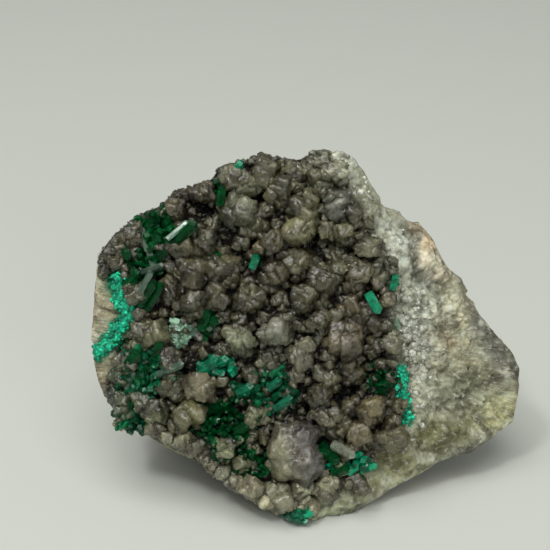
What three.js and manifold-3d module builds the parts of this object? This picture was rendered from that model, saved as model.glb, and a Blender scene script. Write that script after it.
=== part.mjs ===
// Dioptase on calcite: a loose block of pale country rock, its front lined with
// smoky calcite crystals that carry tufts and seams of green dioptase.
// Millimetres, +Z up. The lined front faces -Y and the flat foot lies on z = 0.

import * as THREE from 'three';
import { ConvexGeometry } from 'three/addons/geometries/ConvexGeometry.js';
import { mergeVertices } from 'three/addons/utils/BufferGeometryUtils.js';
import loadManifold from 'manifold-3d';

const wasm = await loadManifold();
wasm.setup();

// Driving dimensions
const gap = 0.3;                // clearance between pieces
const bedDepth = 3.2;           // how far the rock is hollowed under the druse
const bedSlope = 6;             // how far in from the druse's edge the hollow has its depth
const crustSkin = 1.5;          // thickness of the calcite under its crystals
const spread = 1.3;             // corner radius of a calcite rhomb over its visible radius
const wear = 46;                // sharpness of the rock's edges, higher is sharper
const roundness = 9;            // the same for the block that the druse's reach is judged by
const steadyHeight = 5;         // the foot's own height, where the rock's relief dies out
const rockDetail = 7;           // subdivision of the rock's faces
const skinDetail = 6;           // subdivision of the calcite's own skin
const heart = new THREE.Vector3(1, 3, 27);    // a point deep inside the rock

// The front is laid out on a picture plane seen from the front and above.
// A place on it is [across, up] in millimetres from the point that is aimed at.
const sight = { tilt: 30, distance: 283, aim: new THREE.Vector3(-6.2, 0, 44.7) };
const tilt = THREE.MathUtils.degToRad(sight.tilt);
const forward = new THREE.Vector3(0, Math.cos(tilt), -Math.sin(tilt));
const upward = new THREE.Vector3(0, Math.sin(tilt), Math.cos(tilt));
const eye = sight.aim.clone().addScaledVector(forward, -sight.distance);

// Corners of the rock on the seen side: across, up, and the depth y
const seenCorners = [
    [-38.2, 5.2, 5],        // left shoulder
    [-26, 14.6, 8],
    [-12.4, 21.2, 11],
    [-4.6, 23.4, 13],
    [10.4, 25.8, 15],       // peak
    [16, 25.2, 15],
    [17, 17, 8],
    [20.8, 12.6, 15],
    [31.6, 9.2, 17],        // step of the right shoulder
    [35.4, 0.6, 14],
    [42, -9.4, 7],
    [51.8, -18.8, 0],       // right tip
    [51.4, -29.6, -4],
    [39.2, -35.8, -9],
    [25, -42.8, -15],
    [15.6, -50.6, -21],
    [5, -50.6, -24],       // lowest tip of the front
    [-2.6, -47, -23],
    [-16, -34.6, -18],
    [-34, -29.4, -11],
    [-38, -20.4, -6],
    [-38.6, -13.6, -3],     // left rim
    [24.6, -2, -1],        // ridge between the druse and the bare rock
    [25, -27.4, -12],
    [-7, -11, -6],         // middle of the druse
];

// Corners on the back and underneath: x, y, z. The ones below zero are cut off by the foot.
const hiddenCorners = [
    [2, 26, 57],
    [-30, 19, 40],
    [-29, 20, 10],
    [-3, 30, 5],
    [27, 27, 32],
    [31, 17, 5],
    [-33, 3, 8],
    [37, 6, 8],
    [-2, -20, -1.5],
    [-20.6, 2.6, -1.5],
    [-18, 14, -1.5],
    [3, 22, -1.5],
    [22, 12, -1.5],
    [22, -6, -1.5],
];

// Outline of the druse on the picture plane, carried past the rock's own edge at the left and top
const druseOutline = [
    [-38, 4],
    [-34, 11],
    [-29, 15.5],
    [-18, 22],
    [-13, 26],
    [-6, 28],
    [0, 29],
    [10, 28.5],
    [13.5, 22],
    [16, 16],
    [20, 9.4],
    [23, 2.6],
    [24.6, -5],
    [25, -14],
    [25.8, -25],
    [24.2, -32],
    [20, -37.4],
    [14, -43.4],
    [8.6, -48.6],
    [4, -51],
    [-4, -49],
    [-10, -44.5],
    [-16, -40],
    [-24, -36.5],
    [-32, -33],
    [-34.5, -24],
    [-33.4, -18],
    [-31, -13.4],
    [-29, -8.6],
    [-31.4, -2],
    [-35, 0.5],
];

// Swells and hollows of the bare rock that the front shows: across, up, width, height
const swells = [
    [42, -10, 4.5, -1],     // hollow of the yellow slope
    [48, -19.4, 3.5, 1.6],
    [36, -20, 5, -1.4],    // dished middle of the slope
    [32, -33, 4, 1],
    [41, -30, 3.5, -1.1],
    [31, 7.6, 3, 1],        // tan piece on the shoulder
    [23.4, 15.4, 4.2, -2.2],
    [24, -39, 3.5, -1],
    [15.4, -47, 3.6, 1.3],
    [-35, -8, 3, 0.7],
    [-35, -18, 3, -0.7],
];

// Ledges: the way from the heart to the ledge, the way down it, its drop and its length
const ledges = [
    [[0.66, -0.35, 0.42], [1, 0, -0.1], 1.5, 12],     // behind the sparkling rim
    [[0.9, 0.1, 0.25], [0.5, -0.2, -0.85], 1.3, 10],
    [[0.85, -0.3, -0.25], [0.3, 0.2, -0.9], 1.6, 12],
    [[0.4, -0.6, -0.6], [0.9, 0.1, -0.3], 1.1, 8],
    [[0.5, 0.7, 0.5], [0.2, 0.3, -0.9], 1.8, 14],     // back
    [[-0.3, 0.8, 0.3], [-0.7, 0.2, -0.6], 1.6, 13],
    [[0.1, 0.9, -0.3], [0.6, 0.3, -0.7], 1.7, 14],
    [[-0.7, 0.5, -0.1], [-0.2, 0.6, -0.8], 1.4, 11],
    [[0.6, 0.6, -0.4], [-0.3, 0.2, -0.9], 1.5, 11],
    [[-0.7, -0.2, -0.55], [0.1, -0.3, -0.9], 1.2, 9],  // under the left side
];

// Pits: the way from the heart, width and depth
const pits = [
    [[0.2, 0.8, 0.6], 4, 1.5],
    [[-0.45, 0.75, -0.1], 4.5, 1.8],
    [[0.7, 0.5, 0.1], 5, 1.6],
    [[-0.1, 0.7, 0.8], 4, 1.2],
    [[-0.8, 0.35, 0.3], 4, 1.3],
    [[0.35, 0.8, -0.35], 4.5, 1.5],
    [[0.95, 0.2, -0.1], 4, 1.2],
];

// Large crystals of the calcite: across, up, visible radius
const calciteLumps = [
    [-9, 19.2, 2.6], [-1.8, 20.4, 2.8], [4.2, 20.4, 2.4], [-6, 17.4, 2.4], [-13.6, 17.4, 2.2],
    [-20.6, 14, 2.2], [-8.6, 12.4, 2.9], [0.8, 16.4, 2.5], [5, 13.6, 2.6],
    [5.6, 9, 2.8], [10.4, 9.6, 2.3], [8.6, 17.4, 2.4], [12, 20.4, 2.5], [13, 14, 2.4],
    [14, 8, 2.5], [13.2, 3.6, 2.2], [-0.6, 6.4, 2.5], [-9.6, 2.2, 2.7], [-17, 0.4, 3],
    [-20.8, -4.6, 2.5], [-16.2, -6, 2.9], [-11.8, -4, 2.3], [-6, -4.6, 2.6], [-0.4, 0.4, 2.6],
    [4.4, 2.8, 2.5], [8.8, -1, 2.5], [17, 0.2, 2.6], [13.8, -5, 2.4], [5.2, -5, 2.5],
    [1, -11.6, 3.4], [-6.8, -13.6, 2.6], [5.4, -17, 3], [8.6, -23.4, 2.7], [13.6, -13.4, 3.5],
    [18.6, -8.4, 2.8], [14.6, -19.4, 2.4], [10.4, -28, 2.5], [15.4, -25.4, 2.5], [20, -27, 2.6],
    [17, -31, 2.8], [4.2, -33.6, 4.6], [6, -39.8, 3.1], [1, -44, 2.6], [-5, -43, 2.4],
    [-15.4, -22, 3], [-20.4, -22.4, 2.3], [-17.6, -27.4, 2.9], [-22.6, -27.4, 2.3], [-25, -12.4, 2.9],
    [-29.4, -17, 2.2], [-28.4, -4, 2.3], [-32.4, 2.4, 2.1], [-28, 8, 2.1], [-12, -33.6, 2.5],
    [-7, -33.6, 2.3], [22, -33, 2.6], [16, -41, 2.5], [10.6, -43.4, 2.3], [18.6, 6, 2.5],
    [23, -13.6, 2.2], [-31.4, -24.6, 2.2], [-24, -32, 2.1], [-12.6, -37.8, 2.3], [-21.6, -16.8, 2.2],
    [-14, 7, 2.5], [-30, -10, 2.2],
];

// Separate patches of dioptase: name, across, up, half width, half height, crystals, length
const patches = [
    ['dioptase_upper_left', -24, 9.4, 3.2, 2.8, 5, 4.6],
    ['dioptase_left_blades', -26, 1, 2.4, 3, 4, 5.4],
    ['dioptase_left_rim', -29.8, 5, 1.3, 1.2, 1, 3.4],
    ['dioptase_top_notch', -10.8, 16.4, 1.2, 1.1, 1, 2.8],
    ['dioptase_top_edge', -6.6, 21.4, 1.2, 1, 1, 1.9],
    ['dioptase_heart', -4, 3, 1.2, 1, 1, 2.8],
    ['dioptase_left_heart', -11, 6.6, 1.2, 1, 1, 2.6],
    ['dioptase_centre_left', -13.6, -9.4, 2, 1.6, 2, 3.4],
    ['dioptase_mint', -19.4, -12.4, 1.8, 1.4, 2, 2.6],
    ['dioptase_lower_left', -26.8, -19.8, 3.8, 3.4, 4, 4],
    ['dioptase_left_foot', -28.2, -28.2, 2.6, 1.8, 2, 3],
    ['dioptase_middle', -10.6, -18, 2.8, 2.2, 3, 3.6],
    ['dioptase_centre', -1.5, -22.6, 4.4, 3.2, 4, 3.8],
    ['dioptase_hollow', -10.2, -28.6, 4.4, 3.4, 4, 3.8],
    ['dioptase_bottom_hollow', -4.6, -38.2, 3, 2, 2, 3.2],
    ['dioptase_right_hollow', 19.6, -20.2, 2.2, 1.6, 2, 3.2],
    ['dioptase_lower_right', 14, -36.8, 3, 1.8, 3, 3.4],
    ['dioptase_leaf', 19.6, -3.6, 1.3, 1.2, 1, 3.6],
    ['dioptase_right_edge', 22.6, -0.4, 0.9, 0.8, 1, 2.4],
    ['dioptase_tip', 4.6, -47.6, 1.6, 1, 1, 2.4],
];

// Granular seams of dioptase on the bare rock: name, grain radius, course as across, up
const leftCourse = [[-32, -1], [-30.6, -5], [-31, -9], [-32.6, -12], [-34.4, -14], [-35.6, -16.4]];
const rightCourse = [[26.4, -18.6], [26.8, -22], [26.8, -25.4], [27.2, -29.4]];
const seams = [
    ['dioptase_seam_left', 1.25, leftCourse],
    ['dioptase_seam_right', 1.05, rightCourse],
];

// A steady sequence of numbers from 0 to 1, the same for the same seed
function sequence(seed) {
    let state = seed >>> 0;
    return () => {
        state = (state + 0x6d2b79f5) >>> 0;
        let word = Math.imul(state ^ (state >>> 15), 1 | state);
        word = (word + Math.imul(word ^ (word >>> 7), 61 | word)) ^ word;
        return ((word ^ (word >>> 14)) >>> 0) / 4294967296;
    };
}

// Picture plane
function rayTo(across, up) {
    return forward.clone()
        .add(new THREE.Vector3(across / sight.distance, 0, 0))
        .addScaledVector(upward, up / sight.distance);
}

function atDepth(across, up, y) {
    const ray = rayTo(across, up);
    return eye.clone().addScaledVector(ray, (y - eye.y) / ray.y);
}

function onPicture(point) {
    const arm = point.clone().sub(eye);
    const scale = sight.distance / arm.dot(forward);
    return [arm.x * scale, arm.dot(upward) * scale];
}

// Signed distance to a closed outline in the picture plane, positive inside
function insideBy([x, y], outline) {
    let nearest = Infinity;
    let inside = false;
    outline.forEach(([ax, ay], i) => {
        const [bx, by] = outline[(i + 1) % outline.length];
        const length2 = (bx - ax) ** 2 + (by - ay) ** 2;
        const t = THREE.MathUtils.clamp(((x - ax) * (bx - ax) + (y - ay) * (by - ay)) / length2, 0, 1);
        nearest = Math.min(nearest, Math.hypot(x - ax - t * (bx - ax), y - ay - t * (by - ay)));
        if ((ay > y) !== (by > y) && x < ax + (y - ay) / (by - ay) * (bx - ax)) {
            inside = !inside;
        }
    });
    return inside ? nearest : -nearest;
}

// The flat faces of the block are the outer planes through its corners.
function outerPlanes(points) {
    const planes = [];
    const arms = points.map((p) => p.clone().sub(heart));
    for (let a = 0; a < arms.length; a++) {
        for (let b = a + 1; b < arms.length; b++) {
            for (let c = b + 1; c < arms.length; c++) {
                const normal = arms[b].clone().sub(arms[a]).cross(arms[c].clone().sub(arms[a]));
                if (normal.length() < 1e-6) continue;
                normal.normalize();
                if (normal.dot(arms[a]) < 0) normal.negate();
                const far = normal.dot(arms[a]);
                if (arms.some((p) => p.dot(normal) > far + 1e-6)) continue;
                if (planes.some((p) => p.normal.dot(normal) > 0.99999)) continue;
                planes.push({ normal, far });
            }
        }
    }
    return planes;
}

const corners = [
    ...seenCorners.map(([across, up, y]) => atDepth(across, up, y)),
    ...hiddenCorners.map((p) => new THREE.Vector3(...p)),
];
const planes = outerPlanes(corners);

// How near each face's plane is in a direction, against its own distance
function nearnessOf(direction) {
    return planes.map((p) => Math.max(direction.dot(p.normal) / p.far, 1e-6));
}

// How far the worn block reaches from its heart in a direction
function blockReach(direction) {
    const nearness = nearnessOf(direction);
    const most = Math.max(...nearness);
    const sum = nearness.reduce((total, g) => total + (g / most) ** wear, 0);
    return 1 / (most * sum ** (1 / wear));
}

// Outward normal of the block in a direction, with edges as sharp as the power makes them
function blockNormal(direction, power) {
    const nearness = nearnessOf(direction);
    const most = Math.max(...nearness);
    const normal = new THREE.Vector3();
    nearness.forEach((g, i) => {
        normal.addScaledVector(planes[i].normal, (g / most) ** (power - 1) / planes[i].far);
    });
    return normal.normalize();
}

// 1 in the middle of the druse, 0 on bare rock and on slopes that look away from the eye
function druseCover(direction, rim) {
    const point = blockPoint(direction);
    const facing = blockNormal(direction, roundness).dot(eye.clone().sub(point).normalize());
    const edge = THREE.MathUtils.smoothstep(insideBy(onPicture(point), druseOutline), -1, rim);
    return edge * THREE.MathUtils.smoothstep(facing, -0.4, -0.05);
}

function blockPoint(direction) {
    return heart.clone().addScaledVector(direction, blockReach(direction));
}

function placed(toward) {
    return blockPoint(new THREE.Vector3(...toward).normalize());
}

const ledgePlaces = ledges.map(([toward, down, drop, long]) => {
    return { place: placed(toward), down: new THREE.Vector3(...down).normalize(), drop, long };
});
const pitPlaces = pits.map(([toward, wide, deep]) => ({ place: placed(toward), wide, deep }));

// A ledge drops over a millimetre and runs out again below; it fades along its length.
function ledgeRelief(point) {
    let relief = 0;
    for (const { place, down, drop, long } of ledgePlaces) {
        const past = point.clone().sub(place).dot(down);
        const fade = Math.exp(-point.distanceToSquared(place) / long ** 2);
        const runOut = Math.exp(-Math.max(past, 0) / (0.5 * long));
        relief -= drop * fade * THREE.MathUtils.smoothstep(past, -0.6, 0.6) * runOut;
    }
    return relief;
}

// Uneven breakage in creased folds, with the rock's bedding across it
function breakage({ x, y, z }) {
    const bedding = 0.8 * z + 0.35 * x + 0.3 * y;
    const folds = Math.abs(Math.sin(0.23 * x + 0.9 + 0.8 * Math.sin(0.17 * z)) * Math.sin(0.21 * y + 0.19 * z));
    return 0.45 * Math.sin(0.85 * bedding + 1.2 * Math.sin(0.16 * x)) + 1.6 * (0.4 - folds);
}

// Worn faces of the rock with swells, ledges, pits and breakage
function rockReach(direction) {
    const point = blockPoint(direction);
    const front = THREE.MathUtils.smoothstep(-direction.dot(forward), -0.3, 0.1);
    const [across, up] = onPicture(point);
    let relief = ledgeRelief(point) + breakage(point);
    for (const [x, y, wide, high] of swells) {
        relief += front * high * Math.exp(-(((across - x) ** 2 + (up - y) ** 2) / wide ** 2));
    }
    for (const { place, wide, deep } of pitPlaces) {
        relief -= deep * Math.exp(-point.distanceToSquared(place) / wide ** 2);
    }
    const steady = THREE.MathUtils.smoothstep(point.z, 0, steadyHeight);
    return point.distanceTo(heart) + relief * steady * (1 - druseCover(direction, 3));
}

// The rock's surface in a direction, with the bed that the druse lies in, raised by a margin
function rockPoint(direction, margin) {
    return heart.clone()
        .addScaledVector(direction, rockReach(direction))
        .addScaledVector(forward, bedDepth * druseCover(direction, bedSlope))
        .addScaledVector(blockNormal(direction, wear), margin);
}

// The calcite's surface; where there is no druse it dives into the rock.
function skinPoint(direction) {
    const buried = 6 * (1 - druseCover(direction, 2)) ** 2;
    return rockPoint(direction, gap + crustSkin).addScaledVector(direction, -buried);
}

// The place that a sight line meets the rock at, raised by a height along the normal there
function onRock(across, up, height) {
    const ray = rayTo(across, up).normalize();
    const outside = (t) => {
        const arm = eye.clone().addScaledVector(ray, t).sub(heart);
        return arm.length() - rockReach(arm.clone().normalize());
    };
    let nearest = sight.distance;
    let far = sight.distance - 60;
    while (outside(far) > 0 && far < sight.distance + 60) {
        far += 1;
        if (outside(far) < outside(nearest)) nearest = far;
    }
    let near = far - 1;
    for (let i = 0; i < 20; i++) {
        const middle = (near + far) / 2;
        if (outside(middle) > 0) near = middle;
        else far = middle;
    }
    // A line that passes beside the rock takes the place that it passes closest to.
    const t = outside(far) > 0.01 ? nearest : far;
    const direction = eye.clone().addScaledVector(ray, t).sub(heart).normalize();
    return { point: rockPoint(direction, height), normal: blockNormal(direction, wear) };
}

// Solids
function toSolid(geometry) {
    const bare = geometry.clone();
    bare.deleteAttribute('normal');
    bare.deleteAttribute('uv');
    const merged = mergeVertices(bare, 1e-4);
    return new wasm.Manifold(new wasm.Mesh({
        numProp: 3,
        vertProperties: new Float32Array(merged.attributes.position.array),
        triVerts: new Uint32Array(merged.index.array),
    }));
}

function toGeometry(solid) {
    const mesh = solid.getMesh();
    const geometry = new THREE.BufferGeometry();
    geometry.setAttribute('position', new THREE.BufferAttribute(new Float32Array(mesh.vertProperties), 3));
    geometry.setIndex(new THREE.BufferAttribute(new Uint32Array(mesh.triVerts), 1));
    geometry.computeVertexNormals();
    return geometry;
}

// The biggest of the closed bodies that a cut leaves
function mainBody(solid) {
    return solid.decompose().reduce((a, b) => (a.volume() > b.volume() ? a : b));
}

function joined(solids) {
    return solids.reduce((all, solid) => all.add(solid));
}

// A ball whose points are moved to a surface that is given by direction from the heart
function moulded(pointOf, detail) {
    const ball = new THREE.IcosahedronGeometry(1, detail);
    ball.deleteAttribute('normal');
    ball.deleteAttribute('uv');
    const geometry = mergeVertices(ball, 1e-5);
    const position = geometry.attributes.position;
    const direction = new THREE.Vector3();
    for (let i = 0; i < position.count; i++) {
        direction.fromBufferAttribute(position, i).normalize();
        const point = pointOf(direction);
        position.setXYZ(i, point.x, point.y, point.z);
    }
    return toSolid(geometry);
}

// Points of a crystal, its long axis turned from +Z to the given direction
function posed(points, axis, turn, place) {
    const pose = new THREE.Quaternion().setFromUnitVectors(new THREE.Vector3(0, 0, 1), axis);
    const spin = new THREE.Quaternion().setFromAxisAngle(new THREE.Vector3(0, 0, 1), turn);
    pose.multiply(spin);
    return points.map((p) => p.applyQuaternion(pose).add(place));
}

function convexSolid(points) {
    return toSolid(new ConvexGeometry(points));
}

function ringPoint(radius, degrees, height) {
    const angle = THREE.MathUtils.degToRad(degrees);
    return new THREE.Vector3(radius * Math.cos(angle), radius * Math.sin(angle), height);
}

// A rhomb of calcite, a little drawn out or flattened along its three-fold axis
function rhomb(radius, random) {
    const high = radius * (0.75 + 0.3 * random());
    const points = [new THREE.Vector3(0, 0, high), new THREE.Vector3(0, 0, -high)];
    for (let k = 0; k < 3; k++) {
        points.push(ringPoint(radius, 120 * k, high / 3));
        points.push(ringPoint(radius, 120 * k + 60, -high / 3));
    }
    return points;
}

// A six-sided prism of dioptase closed by three flat faces
function prism(radius, length) {
    const points = [new THREE.Vector3(0, 0, length)];
    for (let k = 0; k < 6; k++) {
        const drop = k % 2 ? 1.1 : 0.55;
        points.push(ringPoint(radius, 60 * k, length - drop * radius));
        points.push(ringPoint(radius, 60 * k, -0.4 * radius));
    }
    return points;
}

// A direction within a cone about the normal
function leaning(normal, most, random) {
    const side = new THREE.Vector3(0.2, 0.9, 0.4).cross(normal).normalize();
    const lean = side.applyAxisAngle(normal, 2 * Math.PI * random()).multiplyScalar(Math.tan(most * random()));
    return normal.clone().add(lean).normalize();
}

// Point sets of one patch: a low root and the prisms that rise from it, all grown by a margin
function patchShapes([, across, up, halfWide, halfHigh, count, length], seed, margin) {
    const random = sequence(seed);
    const { point, normal } = onRock(across, up, gap + crustSkin);
    const pose = new THREE.Matrix4().lookAt(normal, new THREE.Vector3(), new THREE.Vector3(0, 0, 1));
    const onRoot = (x, y, z) => new THREE.Vector3(x, y, z).applyMatrix4(pose).add(point);
    const thick = 0.4 * Math.min(halfWide, halfHigh) + margin;
    const root = [onRoot(0, 0, thick), onRoot(0, 0, -thick)];
    for (let k = 0; k < 6; k++) {
        const rim = ringPoint(1, 60 * k, 0);
        root.push(onRoot(rim.x * (halfWide + margin), rim.y * (halfHigh + margin), 0));
    }
    const shapes = [root];
    for (let k = 0; k < count; k++) {
        const angle = 2.4 * k + random();
        const out = 0.7 * Math.sqrt((k + 0.4) / count);
        const spot = onRoot(halfWide * out * Math.cos(angle), halfHigh * out * Math.sin(angle), 0);
        const outward = spot.clone().sub(point).multiplyScalar(0.15).add(normal).normalize();
        const axis = leaning(outward, 0.45, random);
        const radius = (0.14 + 0.05 * random()) * length;
        const tall = length * (0.75 + 0.35 * random());
        shapes.push(posed(prism(radius + margin, tall + margin), axis, 6 * random(), spot));
    }
    return shapes;
}

// Point sets of the rounded grains strung along a course, half sunk in the rock
function seamShapes([, grain, course], seed, margin) {
    const random = sequence(seed);
    const path = new THREE.CatmullRomCurve3(course.map(([x, y]) => new THREE.Vector3(x, y, 0)));
    const count = Math.ceil(path.getLength() / (1.9 * grain));
    const shapes = [];
    for (let k = 0; k <= count; k++) {
        const { x, y } = path.getPointAt(k / count);
        const { point, normal } = onRock(x, y, 0.2 * grain);
        const size = grain * spread * (0.85 + 0.3 * random()) + margin;
        shapes.push(posed(rhomb(size, random), leaning(normal, 0.5, random), 6 * random(), point));
    }
    return shapes;
}

// The block is cut off flat under its foot, and nothing that grows on it reaches as low.
function below(height) {
    return toSolid(new THREE.BoxGeometry(200, 200, 60).translate(0, 0, height - 30));
}

const matrix = moulded((d) => rockPoint(d, 0), rockDetail).subtract(below(0));
const swollen = (d) => rockPoint(d, 0.3 * gap).addScaledVector(d, 0.9 * gap);
const keepout = moulded(swollen, rockDetail).add(below(gap));

// Each green piece, and the hollow that it needs in whatever lies round it
const green = [];

function growGreen(name, shapes, roomier) {
    let solid = joined(shapes.map(convexSolid)).subtract(keepout);
    for (const other of green) {
        solid = solid.subtract(other.pocket);
    }
    green.push({ name, solid: mainBody(solid), pocket: convexSolid(roomier.flat()) });
}

patches.forEach((entry, i) => {
    growGreen(entry[0], patchShapes(entry, 41 + i, 0), patchShapes(entry, 41 + i, gap));
});
seams.forEach((entry, i) => {
    growGreen(entry[0], seamShapes(entry, 91 + i, 0), seamShapes(entry, 91 + i, gap));
});

// The skin of calcite with its large crystals, hollowed where the dioptase sits
function calciteCrust() {
    const random = sequence(7);
    const solids = [moulded(skinPoint, skinDetail)];
    for (const [across, up, radius] of calciteLumps) {
        const { point, normal } = onRock(across, up, gap + crustSkin + 0.25 * radius);
        const axis = leaning(normal, 0.8, random);
        solids.push(convexSolid(posed(rhomb(spread * radius, random), axis, 6 * random(), point)));
    }
    let crust = joined(solids).subtract(keepout);
    for (const other of green) {
        crust = crust.subtract(other.pocket);
    }
    return mainBody(crust);
}

// Colours and finish of each kind of piece
const finish = {
    rock: new THREE.MeshStandardMaterial({ color: 0xa9a48c, roughness: 0.9, metalness: 0 }),
    calcite: new THREE.MeshStandardMaterial({ color: 0x7f776b, roughness: 0.35, metalness: 0 }),
    dioptase: new THREE.MeshStandardMaterial({ color: 0x0b7a4e, roughness: 0.12, metalness: 0 }),
};

function named(name, solid, material) {
    const mesh = new THREE.Mesh(toGeometry(solid), material);
    mesh.name = name;
    return mesh;
}

const specimen = new THREE.Group();
specimen.add(named('matrix', mainBody(matrix), finish.rock));
specimen.add(named('calcite_crust', calciteCrust(), finish.calcite));
for (const { name, solid } of green) {
    specimen.add(named(name, solid, finish.dioptase));
}

export default specimen;
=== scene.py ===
# Dioptase on calcite: a loose block of pale country rock, its front lined with smoky
# calcite that carries tufts, gems and seams of green dioptase.
# Lengths are in millimetres, and a mesh is written in metres.

import math

import bpy
import numpy as np
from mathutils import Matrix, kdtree


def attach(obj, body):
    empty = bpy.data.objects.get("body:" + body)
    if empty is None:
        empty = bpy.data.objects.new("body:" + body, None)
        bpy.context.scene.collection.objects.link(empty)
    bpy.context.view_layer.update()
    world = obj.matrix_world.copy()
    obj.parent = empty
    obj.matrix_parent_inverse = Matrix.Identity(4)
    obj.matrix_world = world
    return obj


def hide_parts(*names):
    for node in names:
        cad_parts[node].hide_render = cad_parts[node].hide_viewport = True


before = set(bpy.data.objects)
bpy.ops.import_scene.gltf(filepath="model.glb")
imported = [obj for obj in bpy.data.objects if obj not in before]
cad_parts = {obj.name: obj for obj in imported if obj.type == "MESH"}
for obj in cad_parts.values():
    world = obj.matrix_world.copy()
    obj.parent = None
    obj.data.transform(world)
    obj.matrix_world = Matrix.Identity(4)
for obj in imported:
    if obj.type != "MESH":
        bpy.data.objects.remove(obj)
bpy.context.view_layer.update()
metres = 0.001

# The front is laid out on a picture plane seen from the front and above.
# A place on it is (across, up) from the point that is aimed at.
sight = {
    "tilt": 30,              # degrees below level
    "distance": 283,
    "aim": (-6.2, 0, 44.7),
    "fieldOfView": 22,
}

tilt = math.radians(sight["tilt"])
forward = np.array([0, math.cos(tilt), -math.sin(tilt)])
upward = np.array([0, math.sin(tilt), math.cos(tilt)])
rightward = np.array([1.0, 0, 0])
eye = np.array(sight["aim"]) - sight["distance"] * forward

# Where the lamps stand, in metres, and a place in the open room beside them; some crystal
# faces are turned to throw one of them back
lampPlaces = {
    "overhead softbox": (-0.1, -0.15, 0.9),
    "front softbox": (0.35, -0.8, 0.5),
    "glint lamp": (-0.3, -0.3, 0.75),
    "open room": (-0.9, -0.5, 0.35),
}

print("camera")
cameraData = bpy.data.cameras.new("camera")
cameraData.sensor_fit = "HORIZONTAL"
cameraData.angle = math.radians(sight["fieldOfView"])
cameraData.clip_start = 0.01
camera = bpy.data.objects.new("camera", cameraData)
camera.location = eye * metres
camera.rotation_euler = (math.pi / 2 - tilt, 0, 0)
bpy.context.scene.collection.objects.link(camera)
bpy.context.scene.camera = camera
bpy.context.scene.view_settings.view_transform = "Standard"


# Vectors, colours and noise

# Vectors made one unit long
def unit(vectors):
    return vectors / np.linalg.norm(vectors, axis=-1, keepdims=True)


# Rises from 0 at low to 1 at high as 3tt - 2ttt, so it is level at both ends
def smoothStep(value, low, high):
    t = np.clip((value - low) / (high - low), 0, 1)
    return t * t * (3 - 2 * t)


# On the straight line from a, at share 0, to b, at share 1
def mixed(a, b, share):
    return a + (b - a) * share


# Chance numbers between low and high
def uniform(random, low, high, count):
    return random.uniform(low, high, count)


# A colour as seen on a screen, 0 to 255, in the linear values of a material
def colour(red, green, blue):
    return (np.array([red, green, blue]) / 255) ** 2.2


latticeCount = 64     # cells each way before the noise repeats
layerShift = 7.3      # between one layer of noise and the next
facetStray = 0.45     # how far the seed of a facet lies off the middle of its cell
facetStep = 0.4       # height between facets, against their tilting
fullTurn = 6.28       # radians
lattice = np.random.default_rng(5).uniform(-1, 1, (latticeCount,) * 3)


# Smooth random values from -1 to 1: the corners of the lattice cell round each point are
# mixed by a curve that is flat at the corners. "grain" is the size of a cell in mm, and each
# "shift" gives another noise.
def softNoise(points, grain, shift=0.0):
    place = points / grain + shift
    cell = np.floor(place).astype(int)
    part = place - cell
    part = part * part * (3 - 2 * part)
    total = 0
    for corner in np.ndindex(2, 2, 2):
        weight = np.prod(np.abs(1 - np.array(corner) - part), axis=-1)
        x, y, z = np.moveaxis((cell + corner) % latticeCount, -1, 0)
        total = total + weight * lattice[x, y, z]
    return total


# Soft noise with finer and weaker layers on top of it, each half the one before
def layeredNoise(points, grain, layers, shift=0.0):
    scales = [(2 ** k, shift + layerShift * k) for k in range(layers)]
    return sum(softNoise(points, grain / scale, start) / scale for scale, start in scales)


# Broken facets: space is split into cells round jittered seeds, and each cell is a tilted
# plane with a level of its own. Gives the height there and a chance tone for the cell. Grain
# and shift are those of soft noise.
def facetNoise(points, grain, tilting, shift=0.0):
    place = points / grain + shift
    cell = np.floor(place).astype(int)
    nearest = np.full(place.shape[:-1], np.inf)
    height, tone = np.zeros_like(nearest), np.zeros_like(nearest)
    for step in np.ndindex(3, 3, 3):
        home = cell + step - 1
        x, y, z = np.moveaxis(home % latticeCount, -1, 0)
        stray = np.stack([lattice[x, y, z], lattice[y, z, x], lattice[z, x, y]], -1)
        arm = place - home - 0.5 - facetStray * stray
        slope = np.stack([lattice[y, x, z], lattice[x, z, y], lattice[z, y, x]], -1)
        level = 0.5 * (slope[..., 0] + lattice[y, z, x])
        away = (arm ** 2).sum(-1)
        closer = away < nearest
        nearest = np.where(closer, away, nearest)
        height = np.where(closer, tilting * (arm * slope).sum(-1) + facetStep * level, height)
        tone = np.where(closer, level, tone)
    return height, tone


# Places on the picture plane: the offsets across and up from the middle line of sight, as
# they look at the distance of the aim
def onPicture(points):
    arm = points - eye
    scale = sight["distance"] / (arm @ forward)
    return np.stack([arm[..., 0] * scale, (arm @ upward) * scale], axis=-1)


# Cosine between each normal and the way to the eye
def facingEye(points, normals):
    return (normals * unit(eye - points)).sum(1)


# Rays from the eye through picture places, one unit long along the middle line of sight
def sightLines(places):
    return forward + places @ np.array([rightward, upward]) / sight["distance"]


# Points on the sight lines through picture places, at a given depth y
def atDepth(across, up, y):
    ray = forward + np.outer(across, rightward / sight["distance"])
    ray = ray + np.outer(up, upward / sight["distance"])
    return eye + ray * ((y - eye[1]) / ray[:, 1])[:, None]


# Signed distance to a closed outline in the picture plane, positive inside
def insideBy(places, outline):
    a = np.array(outline, float)
    b = np.roll(a, -1, axis=0)
    run = b - a
    arm = places[:, None, :] - a
    t = np.clip((arm * run).sum(-1) / (run ** 2).sum(-1), 0, 1)
    nearest = np.linalg.norm(arm - t[..., None] * run, axis=-1).min(-1)
    x, y = places[:, 0:1], places[:, 1:2]
    with np.errstate(divide="ignore", invalid="ignore"):
        crossing = a[:, 0] + (y - a[:, 1]) / run[:, 1] * run[:, 0]
    crossed = ((a[:, 1] > y) != (b[:, 1] > y)) & (x < crossing)
    return np.where(crossed.sum(-1) % 2 == 1, nearest, -nearest)


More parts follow.
